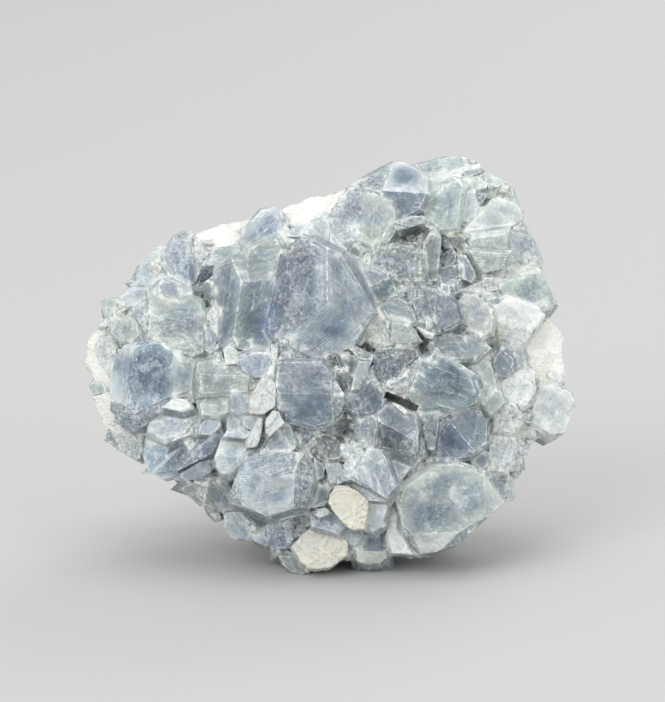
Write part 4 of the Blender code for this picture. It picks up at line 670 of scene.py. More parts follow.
def cornerSides(number, flats, inner, everyCorner):
    # sides that cut off the sharp corners which belong to one face alone
    shape = crystalShape
    corners, place, normal = flats[number]
    sides = []
    for i, corner in enumerate(corners):
        legs = [Vector(corners[j]) - Vector(corner) for j in (i - 1, (i + 1) % len(corners))]
        if (math.degrees(legs[0].angle(legs[1])) > shape["sharp corner"]
                or sum(corner in flat[0] for flat in flats) > 1):
            continue
        inwards = Vector(corner) + legs[0].normalized() + legs[1].normalized()
        start, far = (onPlane(point, place, normal) for point in (corner, inwards))
        out = (start - far).normalized()
        turn = math.radians(shape["corner turn"])
        side = (inner * math.cos(turn) + out * math.sin(turn)).normalized()
        sides.append((pushedOut(start, side, everyCorner), side, number))
    return sides


def crystalPlanes(flats, chance):
    # every flat side of one crystal as (place, normal, number of its face)
    shape = crystalShape
    inner = (towards * shape["towards the viewer"] + flats[0][2]).normalized()
    everyCorner = [onPlane(corner, place, normal)
                   for corners, place, normal in flats for corner in corners]
    planes = [(place, normal, number) for number, (corners, place, normal) in enumerate(flats)]
    for number in range(len(flats)):
        planes += edgeSides(number, flats, inner, everyCorner, chance)
        planes += cornerSides(number, flats, inner, everyCorner)
    back = shape["set back"]
    planes = [(place - normal * back * mm, normal, number) for place, normal, number in planes]
    return planes + [(flats[0][1] - towards * shape["root"] * mm, -towards, 0)]


def cutBlock(name, planes, lookNumbers):
    # a block of stuff cut down to the inside of all the planes, with a look on each side
    bpy.ops.object.select_all(action="DESELECT")
    bpy.ops.mesh.primitive_cube_add(size=crystalShape["block"] * mm, location=planes[0][0])
    piece = bpy.context.object
    piece.name = name
    bpy.ops.object.transform_apply(location=True, rotation=False, scale=False)
    bpy.ops.object.mode_set(mode="EDIT")
    for place, normal, number in planes:
        bpy.ops.mesh.select_all(action="SELECT")
        bpy.ops.mesh.bisect(plane_co=place, plane_no=normal, use_fill=True, clear_outer=True,
                            threshold=crystalShape["join"] * mm)
    bpy.ops.mesh.select_all(action="SELECT")
    bpy.ops.mesh.remove_doubles(threshold=crystalShape["join"] * 2 * mm)
    bpy.ops.mesh.normals_make_consistent(inside=False)
    bpy.ops.object.mode_set(mode="OBJECT")
    look = piece.data.attributes.new("look", "INT", "FACE")
    for face in piece.data.polygons:
        nearest = max(planes, key=lambda plane: plane[1].dot(face.normal)
                      - abs((face.center - plane[0]).dot(plane[1])) * crystalShape["nearness"])
        look.data[face.index].value = lookNumbers[nearest[2]]
    return piece


def wearEdges(piece, width):
    # bevels the edges, and marks the strips that it makes
    bevel = piece.modifiers.new("wear", "BEVEL")
    bevel.width = width * mm
    bevel.segments = 1
    bevel.limit_method = "ANGLE"
    bevel.angle_limit = math.radians(wear["least turn"])
    applied(piece, bevel)
    data = piece.data
    for face in data.polygons:
        around = sum((data.vertices[start].co - data.vertices[end].co).length
                     for start, end in face.edge_keys)
        if face.area < around * width * mm * wear["strip"]:
            data.attributes["look"].data[face.index].value += wear["mark"]


def growCrystal(name, row, seed):
    # one crystal, with some of its corners broken off
    rise, yaw, pitch, faces = row
    shape = crystalShape
    chance = random.Random(seed)
    flats = foldedFaces(rise, yaw, pitch, faces)
    planes = crystalPlanes(flats, chance)
    lookNumbers = {}
    for number, (outline, place, normal) in enumerate(flats):
        drawn.append((outline, place, normal, faces[number][1]))
        along = longestEdge([onPlane(corner, place, normal) for corner in outline])
        lookNumbers[number] = len(looks)
        looks.append((*faces[number][1:4], along.cross(normal), along))
    outline, place, axis = flats[0]
    corners = [onPlane(corner, place, axis) for corner in outline]
    middle = sum(corners, Vector()) / len(corners)
    for corner in corners:
        if chance.random() < shape["chip chance"]:
            out = (corner - middle).normalized() + axis * chance.uniform(*shape["chip lean"])
            out.normalize()
            depth = shape["chip"] * chance.uniform(*shape["chip share"])
            planes.append((corner - out * depth * mm, out, 0))
    block = cutBlock(name, planes, lookNumbers)
    wearEdges(block, shape["edge"])
    return block


def mergedCopy(node, name):
    # a closed copy of a solid of the frame, whose triangles are loose
    piece = frame["nodes"][node].copy()
    piece.data = frame["nodes"][node].data.copy()
    piece.name = name
    piece.parent = None
    piece.data.materials.clear()
    bpy.context.scene.collection.objects.link(piece)
    choose(piece)
    bpy.ops.object.mode_set(mode="EDIT")
    bpy.ops.mesh.select_all(action="SELECT")
    bpy.ops.mesh.remove_doubles(threshold=crystalShape["weld"] * mm)
    bpy.ops.object.mode_set(mode="OBJECT")
    return piece


def combine(piece, tools, operation):
    # joins one or many closed shapes to a piece, or keeps what they share, and clears them away
    group = bpy.data.collections.new("tools")
    bpy.context.scene.collection.children.link(group)
    for tool in tools:
        for owner in list(tool.users_collection):
            owner.objects.unlink(tool)
        group.objects.link(tool)
    boolean = piece.modifiers.new(operation, "BOOLEAN")
    boolean.operation = operation
    boolean.solver = "MANIFOLD"
    boolean.operand_type = "COLLECTION"
    boolean.collection = group
    applied(piece, boolean)
    bpy.data.batch_remove(list(tools) + [group])
    return piece


def addLook(piece, number):
    look = piece.data.attributes.new("look", "INT", "FACE")
    look.data.foreach_set("value", [number] * len(piece.data.polygons))


drawn = []                   # every drawn face: outline, place, direction and tint
rows = [item for table in (upperLeft, lowerLeft, middle, top, right, bottom)
        for item in table.items()]
crystals = [growCrystal(name, row, seed) for seed, (name, row) in enumerate(rows)]
print("crystals cut:", len(crystals))

# Small crystals that fill the cracks between the drawn ones
littleShape = {
    "length": 3,                 # times the radius
    "sides": (5, 6),
    "cap slant": 0.25,
    "uneven": 0.2,
    "facets": (((0.75, 1.05), (5, 22)), ((0.4, 0.9), (38, 58))),    # reach, and slant
    "edge": 0.1,
    "wider": (0.7, 1.3),
    "longer": (0.9, 1.2),
    "turn": 6,
}
fillShape = {
    "seed": 77, "models": 16, "left": -82, "width": 164, "height": 140, "spacing": 3.3,
    "scatter": 0.3, "radius": (1.4, 3.0), "below": (0.3, 1.3), "lean": 15, "widest crack": 3,
    "bed tints": ("ice", "greyBlue", "paleBlue", "tealGrey"),
    "own tint": 0.85,            # share that takes the tint of its neighbour
    "clarity": (0.3, 0.7),
    "finishes": ("glassy", "frosted", "granular"),
    "fan": 4,                    # mm from the middle for each degree of turn
    "from the rim": 2,
    "rim gap": 0.6,
    "inner margin": 1.3,         # of a drawn crystal, over which little ones may lie
    "neighbour": 4,              # a crystal this near sets the height
    "highest": 7,                # over the dome
    "lowest": 13,                # under the dome
    "hollow depth": 1.2,
}

# Where the rock shows between the crystals, as seen from the front
bareRock = [
    [(-43.8, 111.2), (-34, 114.8), (-25.8, 116.3), (-28.6, 108.6), (-38.5, 106.3)],
    [(-15.3, 119.8), (-9, 121.7), (6.8, 127.3), (1, 118.7), (-4.5, 114.8), (-14.7, 113.5)],
    [(-79.6, 74.5), (-78, 78.8), (-73.5, 84), (-72.5, 80), (-71, 68), (-70, 60), (-76, 63)],
    [(-77.3, 58.5), (-75.8, 52.5), (-72.6, 46.8), (-70, 42.6), (-68.3, 51), (-70, 57.5)],
    [(62, 70.5), (67.5, 81), (71.5, 84), (76, 79), (77.7, 63.8), (70, 63)],
]

# Hollows between the crystals: place, radius and extra depth
hollows = [
    (-40.5, 90, 5.5, 7), (-31.5, 31, 5, 6), (-9.5, 16.5, 5, 6), (26, 110, 7, 7), (23, 56, 7, 8),
    (3.5, 48, 7, 7), (15, 13, 5, 4), (31, 76, 5, 5), (46, 98, 6, 5), (-42, 71.5, 4, 5),
    (-3, 36, 4, 5), (12, 74, 6, 6), (38, 46, 5, 3),
]


def depthAt(u, v, place, normal):
    return (onPlane((u, v), place, normal) - sight(u, v, 0)).dot(towards) / mm


def littleModel(chance):
    # a stubby prism of radius 1 with its tip at the origin, a slanting cap and some facets
    shape = littleShape
    axis, side = Vector((0, 0, 1)), Vector((1, 0, 0))
    count = chance.choice(shape["sides"])
    slant, uneven = shape["cap slant"], shape["uneven"]
    cap = Vector((chance.uniform(-slant, slant), chance.uniform(-slant, slant), 1)).normalized()
    planes = [(Vector(), cap, 0), (-axis * shape["length"], -axis, 0)]
    for i in range(count):
        turn = (i + chance.uniform(-uneven, uneven)) * math.tau / count
        out = Matrix.Rotation(turn, 3, axis) @ side
        facets = [(chance.uniform(*reach), slants) for reach, slants in shape["facets"]]
        for reach, slants in facets:
            angle = math.radians(chance.uniform(*slants))
            planes.append((out * reach, out * math.cos(angle) + axis * math.sin(angle), 0))
    planes = [(place * mm, normal, number) for place, normal, number in planes]
    piece = cutBlock("littleModel", planes, {0: 0})
    wearEdges(piece, shape["edge"])
    return piece


def copyAt(model, name, tip, axis, size, chance, look):
    # a copy with its own mesh, turned to its axis
    piece = bpy.data.objects.new(name, model.data.copy())
    turn = (axis.to_track_quat("Z", "Y").to_matrix()
            @ Matrix.Rotation(chance.uniform(0, littleShape["turn"]), 3, "Z"))
    stretch = Matrix.Diagonal([size * chance.uniform(*littleShape["wider"]), size,
                               size * chance.uniform(*littleShape["longer"])])
    piece.data.transform((turn @ stretch).to_4x4())
    piece.data.transform(Matrix.Translation(tip))
    for entry in piece.data.attributes["look"].data:
        entry.value += look
    return piece


def isBare(u, v):
    # whether the rock or a pale stone is seen there
    inStone = 0.75
    return (any(isInside(u, v, outline) for outline in bareRock)
            or any(math.hypot((u - stoneU) / halfU, (v - stoneV) / halfV) < inStone
                   for stoneU, stoneV, halfU, halfV in stones))


def fannedOut(u, v, shape, chance):
    # direction of a little crystal, which leans away from the middle of the cluster
    return facing(chance.gauss(u / shape["fan"], shape["lean"]),
                  chance.gauss((v - dome["centreV"]) / shape["fan"], shape["lean"]))


def hollowedBy(u, v):
    # how far the hollows lower the little crystals at a place
    return sum(extra * fillShape["hollow depth"]
               * max(0, 1 - (math.hypot(u - hollowU, v - hollowV) / radius) ** 2)
               for hollowU, hollowV, radius, extra in hollows)


def fillCracks():
    # little crystals wherever the drawn ones leave a crack, just below the lower neighbour
    shape = fillShape
    chance = random.Random(shape["seed"])
    models = [littleModel(chance) for i in range(shape["models"])]
    step, scatter = shape["spacing"], shape["scatter"]
    found = []
    for row in range(int(shape["height"] / step)):
        for column in range(int(shape["width"] / step)):
            shift = column + 0.5 * (row % 2)     # every other row stands between the columns
            u = shape["left"] + shift * step + chance.uniform(-scatter, scatter) * step
            v = row * step + chance.uniform(-scatter, scatter) * step
            if (not isInside(u, v, rim) or awayFrom(u, v, rim) < shape["from the rim"]
                    or isBare(u, v)):
                continue
            near = sorted(((0 if isInside(u, v, face[0]) else 1) * awayFrom(u, v, face[0]), i)
                          for i, face in enumerate(drawn))[:3]
            outline, place, normal, tint = drawn[near[0][1]]
            inner = near[0][0] == 0 and awayFrom(u, v, outline) > shape["inner margin"]
            if inner or near[0][0] > shape["widest crack"]:
                continue
            size = min(chance.uniform(*shape["radius"]), awayFrom(u, v, rim) - shape["rim gap"])
            around = [(u, v), (u + size, v), (u - size, v), (u, v + size), (u, v - size)]
            depths = [min(depthAt(*place, *drawn[i][1:3]) for place in around
                          if place == (u, v) or isInside(*place, drawn[i][0]))
                      for away, i in near if away < shape["neighbour"]]
            depths = [min(depth, domeDepth(u, v) + shape["highest"]) for depth in depths]
            depth = min(depths or [domeDepth(u, v)]) - chance.uniform(*shape["below"])
            depth = max(depth - hollowedBy(u, v), domeDepth(u, v) - shape["lowest"])
            if chance.random() > shape["own tint"]:
                tint = chance.choice(shape["bed tints"])
            axis = fannedOut(u, v, shape, chance)
            looks.append((tint, chance.uniform(*shape["clarity"]),
                          chance.choice(shape["finishes"]), axis.orthogonal(), axis))
            found.append(copyAt(chance.choice(models), f"little{len(found)}", sight(u, v, depth),
                                axis, size, chance, len(looks) - 1))
    bpy.data.batch_remove(models)
    return found


def stoneSpan(node):
    # middle and half widths of a pale stone, as seen from the front
    places = [corner.co - drawingFoot for corner in frame["nodes"][node].data.vertices]
    spans = [[end(place.dot(way) for place in places) / mm for end in (min, max)]
             for way in (across, upwards)]
    spans[1] = [end + drawing["floorLine"] for end in spans[1]]
    return [sum(pair) / 2 for pair in spans] + [(pair[1] - pair[0]) / 2 for pair in spans]


stones = [stoneSpan(node) for node in frame["nodes"]
          if node not in ("crystal_crust", "rock_matrix")]
fillers = fillCracks()
print("cracks filled with", len(fillers), "little crystals")

# Sugary crystals along the rim, which are whiter at the top and at the sides
rimShape = {
    "seed": 31, "models": 6, "spacing": 0.6, "inset": (0.9, 4), "radius": (0.5, 1.3),
    "below": (0.4, 3.5), "lean": 24, "fan": 3, "clarity": (0.15, 0.4), "finish": "granular",
    "onto crystals": 0.8,        # how far they may lie over a drawn one
    "upper tints": ("white", "ice", "cream", "greenWhite"),
    "lower tints": ("ice", "greyBlue", "paleBlue", "lavenderGrey"),
    "lower ends at": 45,
}


def sugarRim():
    shape = rimShape
    chance = random.Random(shape["seed"])
    models = [littleModel(chance) for i in range(shape["models"])]
    found = []
    for i, end in enumerate(rim):
        start = Vector(rim[i - 1])
        leg = Vector(end) - start
        inwards = Vector((-leg.y, leg.x)).normalized()
        if not isInside(*(start + leg / 2 + inwards), rim):
            inwards = -inwards
        for j in range(round(leg.length / shape["spacing"])):
            u, v = start + leg * chance.random() + inwards * chance.uniform(*shape["inset"])
            if isBare(u, v):
                continue
            outline, place, normal, tint = min(drawn, key=lambda face: awayFrom(u, v, face[0]))
            if isInside(u, v, outline) and awayFrom(u, v, outline) > shape["onto crystals"]:
                continue
            depth = min(depthAt(u, v, place, normal), domeDepth(u, v) + fillShape["highest"])
            depth -= chance.uniform(*shape["below"])
            axis = fannedOut(u, v, shape, chance)
            choices = shape["lower tints" if v < shape["lower ends at"] else "upper tints"]
            looks.append((chance.choice(choices), chance.uniform(*shape["clarity"]),
                          shape["finish"], axis.orthogonal(), axis))
            found.append(copyAt(chance.choice(models), f"sugar{len(found)}", sight(u, v, depth),
                                axis, chance.uniform(*shape["radius"]), chance, len(looks) - 1))
    bpy.data.batch_remove(models)
    return found


sugar = sugarRim()
print("rim set with", len(sugar), "little crystals")


def grow(piece, amount):
    push = piece.modifiers.new("grow", "DISPLACE")
    push.mid_level = 0
    push.strength = amount * mm
    applied(piece, push)
    return piece


# The crystals grow from one bed, which is cut clear of the rock, the stones and the floor
bedShape = {"below the plain solid": 1, "rock gap": 0.25, "stone gap": 0.02, "floor room": 400}

# The dark slot near the middle, long and wide across the drawing and deep under the dome
slot = {"middle": (23.2, 57.2), "long": 11.5, "wide": 2.3, "deep": 9, "turn": -24, "room": 60}


def slotCutter():
    bpy.ops.mesh.primitive_cube_add(size=1)
    cutter = bpy.context.object
    size = Matrix.Diagonal([slot["long"] * mm, slot["wide"] * mm, slot["room"] * mm, 1])
    turn = Matrix.Rotation(math.radians(slot["turn"]), 4, "Z")
    stand = Matrix((across, upwards, towards)).transposed().to_4x4()
    bottom = domeDepth(*slot["middle"]) - slot["deep"]
    place = sight(*slot["middle"], bottom + slot["room"] / 2)
    cutter.data.transform(Matrix.Translation(place) @ stand @ turn @ size)
    addLook(cutter, slotShadeLook)
    return cutter


crust = mergedCopy("crystal_crust", "crystals")
addLook(crust, bedLook)
crust.data.transform(Matrix.Translation(-towards * bedShape["below the plain solid"] * mm))
combine(crust, crystals + fillers + sugar, "UNION")
combine(crust, [slotCutter()], "DIFFERENCE")
room = [grow(mergedCopy(node, node + "Room"),
             bedShape["rock gap" if node == "rock_matrix" else "stone gap"])
        for node in frame["nodes"] if node != "crystal_crust"]
floorRoom = bedShape["floor room"] * mm
bpy.ops.mesh.primitive_cube_add(size=floorRoom, location=(0, 0, -floorRoom / 2))
room.append(bpy.context.object)
for tool in room:
    addLook(tool, bedLook)
    combine(crust, [tool], "DIFFERENCE")


def dropLooseBits(piece):
    # clears away what isn't grown together with the biggest part
    ends = np.array([edge.vertices[:] for edge in piece.data.edges])
    island = np.arange(len(piece.data.vertices))
    while True:
        lowest = island.copy()
        np.minimum.at(lowest, ends[:, 0], island[ends[:, 1]])
        np.minimum.at(lowest, ends[:, 1], island[ends[:, 0]])
        lowest = lowest[lowest]
        if (lowest == island).all():
            break
        island = lowest
    kinds, counts = np.unique(island, return_counts=True)
    loose = island != kinds[counts.argmax()]
    piece.data.polygons.foreach_set("select", np.zeros(len(piece.data.polygons), bool))
    piece.data.edges.foreach_set("select", np.zeros(len(ends), bool))
    piece.data.vertices.foreach_set("select", loose)
    bpy.context.view_layer.objects.active = piece
    bpy.ops.object.mode_set(mode="EDIT")
    bpy.ops.mesh.select_mode(type="VERT")
    bpy.ops.mesh.delete(type="VERT")
    bpy.ops.object.mode_set(mode="OBJECT")
    print("loose bits cleared away:", len(kinds) - 1, "with", loose.sum(), "corners")


dropLooseBits(crust)
print("crystals joined:", len(crust.data.polygons), "faces")


def chooseEdges(piece, chosen):
    # selects just these edges of a mesh, ready for edit mode
    data = piece.data
    data.vertices.foreach_set("select", np.zeros(len(data.vertices), bool))
    data.polygons.foreach_set("select", np.zeros(len(data.polygons), bool))
    data.edges.foreach_set("select", chosen)
    picked = np.zeros(len(data.vertices), bool)
    picked[edgeEnds(piece)[chosen].ravel()] = True
    data.vertices.foreach_set("select", picked)


def edgeEnds(piece):
    ends = np.zeros(len(piece.data.edges) * 2, np.int32)
    piece.data.edges.foreach_get("vertices", ends)
    return ends.reshape(-1, 2)


def points(piece):
    places = np.zeros(len(piece.data.vertices) * 3)
    piece.data.vertices.foreach_get("co", places)
    return places.reshape(-1, 3)


def splitLongEdges(piece, longest, rounds=5):
    # even triangles, so that colour can follow the surface
    choose(piece)
    bpy.ops.object.mode_set(mode="EDIT")
    bpy.ops.mesh.select_all(action="SELECT")
    bpy.ops.mesh.quads_convert_to_tris(quad_method="BEAUTY", ngon_method="BEAUTY")
    bpy.ops.object.mode_set(mode="OBJECT")
    for turn in range(rounds):
        ends = edgeEnds(piece)
        places = points(piece)
        lengths = np.linalg.norm(places[ends[:, 0]] - places[ends[:, 1]], axis=1)
        # what faces away lies on the rock and may stay coarse
        directions = np.empty(len(places) * 3)
        piece.data.vertices.foreach_get("normal", directions)
        away = directions.reshape(-1, 3) @ np.array(towards) < crustColour["faces away"]
        lengths[away[ends].all(axis=1)] *= crustColour["share of length there"]
        if not (lengths > longest * mm).any():
            break
        bpy.ops.object.mode_set(mode="EDIT")
        bpy.ops.mesh.select_mode(type="EDGE")
        bpy.ops.object.mode_set(mode="OBJECT")
        chooseEdges(piece, lengths > longest * mm)
        bpy.ops.object.mode_set(mode="EDIT")
        bpy.ops.mesh.subdivide(number_cuts=1, ngon=False, quadcorner="STRAIGHT_CUT")
        bpy.ops.mesh.select_all(action="SELECT")
        bpy.ops.mesh.quads_convert_to_tris(quad_method="SHORTEST_DIAGONAL", ngon_method="BEAUTY")
        bpy.ops.object.mode_set(mode="OBJECT")
    print(piece.name, "split into", len(piece.data.polygons), "faces")


def edgeTrees(piece, sharpest):
    # points along the outer and the inner edges of a piece, for distances to them
    data = piece.data
    sides = [[] for edge in data.edges]
    for face in data.polygons:
        for loop in face.loop_indices:
            sides[data.loops[loop].edge_index].append(face)
    found = {"outer": [], "inner": []}
    for edge, pair in zip(data.edges, sides):
        if len(pair) != 2 or pair[0].normal.dot(pair[1].normal) > math.cos(math.radians(sharpest)):
            continue
        inner = (pair[1].center - pair[0].center).dot(pair[0].normal) > 0
        start, end = (data.vertices[i].co for i in edge.vertices)
        count = max(int((end - start).length / (crustColour["points every"] * mm)), 1)
        for i in range(count + 1):
            found["inner" if inner else "outer"].append(start.lerp(end, i / count))
    trees = []
    for places in (found["outer"], found["inner"]):
        tree = kdtree.KDTree(len(places))
        for i, place in enumerate(places):
            tree.insert(place, i)
        tree.balance()
        trees.append(tree)
    return trees


crustColour = {
    "finest triangle": 2.1,
    "faces away": -0.25,        # from the viewer, as a share of the full turn
    "share of length there": 0.3,
    "sharp edge": 18,
    "smooth up to": 20,
    "points every": 0.5,
    "edge reach": 6,            # distances to the edges are known up to this
    "common": "common",         # every tint is drawn towards this one
    "own lightness": 0.85,      # share of it that stays
    "own hue": 0.72,
    "crevice reach": 1.0,
    "hollow from": 8,           # depth under the dome at which painted shade starts to darken the hollows
    "hollow to": 14,
    "hollow ends": (0.75, 0.95),     # share of the way to the rim
    "hollow tone": 0.5,
    "hollow share": 0.75,
    "lightness": (0.3, 0.6, 0.1),
    "patch fades": (0.5, 1.1),       # share of its half widths
    "patch depth": 12,               # no patch reaches what lies deeper under the dome
}

# Patches of another tint on the crystals, some of them painted shade: tint, clarity, strength,
# middle and half widths as seen from the front, and turn
patches = {
    "windowOfGreatSlab": ("deepTeal", 0.8, 0.45, 33, 18.5, 10, 6, 10),
    # painted shade: full-strength dark brown over the slot and its edges
    "slot": ("darkBrown", 0.2, 1.0, 23, 57.8, 5, 1.6, -24),
    "pinkOfGreatSlab": ("pink", 0.4, 0.4, 31, 30, 5, 4, 30),
    "deepOfTallBlock": ("blue", 0.95, 0.8, -19.5, 83, 5, 8, -20),
    "lensOfTallBlock": ("blueLavender", 0.8, 0.9, -15.5, 93, 4, 2.2, 10),
    "oliveOfTallBlock": ("olive", 0.6, 0.5, -21, 107, 4, 2, 20),
    "oliveTopOfGreatPrism": ("olive", 0.6, 0.55, -11, 105, 5, 3.5, -30),
    "paleSideOfGreatPrism": ("ice", 0.4, 0.6, -3, 95, 2.5, 9, 0),
    "tealTopOfGreatPrism": ("deepTeal", 0.9, 0.8, 2, 100, 2.2, 3.5, 20),
    "ovalOfGreatPrism": ("blue", 0.9, 0.8, 0.5, 79.5, 3, 2.2, 0),
    "oliveOfGreatPrism": ("olive", 0.5, 0.5, -6, 75, 4, 2, 0),
    "deepEdgeOfBigLeft": ("blue", 0.95, 0.6, -62, 64, 3.5, 9, 0),
    "brownOfBandedLens": ("brownCream", 0.4, 0.6, -26, 62, 3, 2, 0),
    "blueOfGreySummit": ("blue", 0.7, 0.6, 39.5, 122, 1.4, 5, 0),
    "tealByLavenderTip": ("deepTeal", 0.8, 0.7, -44.5, 107, 1.2, 4, 0),
    "yellowOfWhiteGreen": ("yellowGreen", 0.4, 0.6, 55, 78, 5, 3, 0),
    "deepOfDeepTeal": ("deepTeal", 0.95, 0.6, 38, 61, 7, 3, 10),
    # painted shade, in the pocket's brown: the pocket in the hollow under the arches is painted
    # dark
    "brownBetweenHollows": ("darkBrown", 0.8, 0.7, 29, 110, 5, 4, 0),
    "darkUnderArch": ("darkBrown", 0.85, 0.8, 25, 110, 4, 3, 0),
    "greenOfBandedBlock": ("greenWhite", 0.4, 0.6, -48, 77, 5, 3, 20),
    "brownOfBandedBlock": ("brownCream", 0.5, 0.45, -53, 90, 6, 2.5, -10),
    "middleOfBigLeft": ("sky", 0.9, 0.8, -56, 63, 6, 9, 0),
    "footOfLowPrism": ("slate", 0.8, 0.8, -6, 54, 10, 3.5, 0),
    "topOfTopDome": ("blueLavender", 0.8, 0.6, 25, 131, 6, 3, 0),
    "yellowOfGreenCrown": ("yellowGreen", 0.4, 0.7, 15, 111, 5, 3, 20),
    "blueOfLavenderTip": ("blueLavender", 0.9, 0.8, -45, 100, 2.5, 6, 0),
    "blueOfSmallCrown": ("blue", 0.7, 0.5, -19, 114, 4, 4, 0),
    "middleOfDeepTeal": ("deepTeal", 0.95, 0.6, 38, 68, 8, 3.5, -25),
    "lavenderAtLowerLeft": ("blueLavender", 0.8, 0.7, -41, 41, 4, 6, 0),
    "lavenderAtFoot": ("lavender", 0.7, 0.6, -17, 12, 6, 4, 0),
    "beigeOfGreatSlab": ("brownCream", 0.5, 0.5, 25, 26, 7, 4, 40),
    "deepOfBluePrism": ("slate", 0.9, 0.6, 37, 45, 4, 4, 0),
    "blueOfFeatheredPrism": ("paleBlue", 0.6, 0.6, -26, 33, 7, 6, 0),
}


def smooth(low, high, value):
    part = np.clip((value - low) / (high - low), 0, 1)
    return part * part * (3 - 2 * part)


def colourCrust(piece):
    # writes what the crystal finish reads: tint, clarity, frost, grit, lines, painted shade in
    # the hollows, and the distances to the edges
    shape = crustColour
    outer, inner = edgeTrees(piece, shape["sharp edge"])
    splitLongEdges(piece, shape["finest triangle"])
    data = piece.data
    places = points(piece)
    edge = np.array([outer.find(place)[2] for place in places]) / mm
    crevice = np.array([inner.find(place)[2] for place in places]) / (shape["crevice reach"] * mm)
    corners = np.zeros(len(data.loops), np.int32)
    data.loops.foreach_get("vertex_index", corners)
    owners = np.repeat(np.arange(len(data.polygons)), 3)
    look = np.zeros(len(data.polygons), np.int32)
    data.attributes["look"].data.foreach_get("value", look)
    look = look[owners]
    worn = look >= wear["mark"]
    look = look % wear["mark"]
    flat = places - np.array(drawingFoot)
    u = flat[:, 0] / mm
    v = flat @ np.array(upwards) / mm + drawing["floorLine"]
    depth = flat @ np.array(towards) / mm
    reach = (u / dome["halfWidth"]) ** 2 + ((v - dome["centreV"]) / dome["halfHeight"]) ** 2
    under = np.maximum(dome["height"] * (1 - reach), dome["lowest"]) - depth
    # painted shade: darker where the surface lies deep under the dome, fading out near the rim
    hollow = smooth(shape["hollow from"], shape["hollow to"], under)
    hollow *= 1 - smooth(*shape["hollow ends"], np.sqrt(reach))

    common = np.array(tintColour(shape["common"]))
    colour = np.array([tintColour(row[0]) for row in looks])[look]
    light = (colour - common) @ np.array(shape["lightness"])
    colour = (common + light[:, None] * shape["own lightness"]
              + (colour - common - light[:, None]) * shape["own hue"])
    clarity = np.array([row[1] for row in looks])[look]
    traits = {trait: np.array([finishes[row[2]][trait] for row in looks])[look]
              for trait in ("frost", "grit", "groove", "band")}
    grain = np.einsum("ij,ij->i", np.array([row[3] for row in looks])[look], places[corners]) / mm
    for tint, clear, strength, patchU, patchV, halfU, halfV, turn in patches.values():
        turn = math.radians(turn)
        alongU = (u - patchU) * math.cos(turn) + (v - patchV) * math.sin(turn)
        alongV = (v - patchV) * math.cos(turn) - (u - patchU) * math.sin(turn)
        away = np.hypot(alongU / halfU, alongV / halfV)
        mask = strength * (1 - smooth(*shape["patch fades"], away))
        mask = (mask * (under < shape["patch depth"]))[corners]
        colour += (np.array(tintColour(tint)) - colour) * mask[:, None]
        clarity += (clear - clarity) * mask
    # painted shade in the hollows: the colour is drawn towards a dark slate
    hollowShadeAtCorners = hollow[corners]
    deep = np.array(tintColour("darkSlate")) * shape["hollow tone"]
    colour += (deep - colour) * (hollowShadeAtCorners * shape["hollow share"])[:, None]

    layer = data.color_attributes.new("tint", "FLOAT_COLOR", "CORNER")
    layer.data.foreach_set("color", np.column_stack([colour, np.ones(len(colour))]).ravel())
    values = {"clarity": clarity, "grain": grain, "hollow": hollowShadeAtCorners, "worn": worn.astype(float),
              "edge": np.clip(edge, 0, shape["edge reach"])[corners],
              "crevice": np.clip(crevice, 0, 1)[corners], **traits}
    for name, value in values.items():
        data.attributes.new(name, "FLOAT", "CORNER").data.foreach_set("value", value)
    along = np.array([row[4] for row in looks])[look]
    data.attributes.new("along", "FLOAT_VECTOR", "CORNER").data.foreach_set("vector", along.ravel())
    data.attributes.remove(data.attributes["look"])


colourCrust(crust)
choose(crust)
bpy.ops.object.shade_smooth_by_angle(angle=math.radians(crustColour["smooth up to"]))
print("crystals coloured")


class Amount:
    # a socket that can stand in sums
    def __init__(self, finish, socket):
        self.finish = finish
        self.socket = socket

    def work(self, operation, first, second):
        return self.finish.add("ShaderNodeMath", {"operation": operation}, {0: first, 1: second})

    def __add__(self, other):
        return self.work("ADD", self, other)

    def __radd__(self, other):
        return self.work("ADD", other, self)

    def __sub__(self, other):
        return self.work("SUBTRACT", self, other)

    def __rsub__(self, other):
        return self.work("SUBTRACT", other, self)

    def __mul__(self, other):
        return self.work("MULTIPLY", self, other)

    def __rmul__(self, other):
        return self.work("MULTIPLY", other, self)

    def step(self, low, high):
        # 0 below low and 1 above high, smooth between
        return self.finish.add("ShaderNodeMapRange", {"interpolation_type": "SMOOTHSTEP"},
                               {"Value": self, "From Min": low, "From Max": high})

    def wave(self):
        return self.finish.add("ShaderNodeMath", {"operation": "SINE"}, {0: self})

    def other(self, name):
        return Amount(self.finish, self.socket.node.outputs[name])


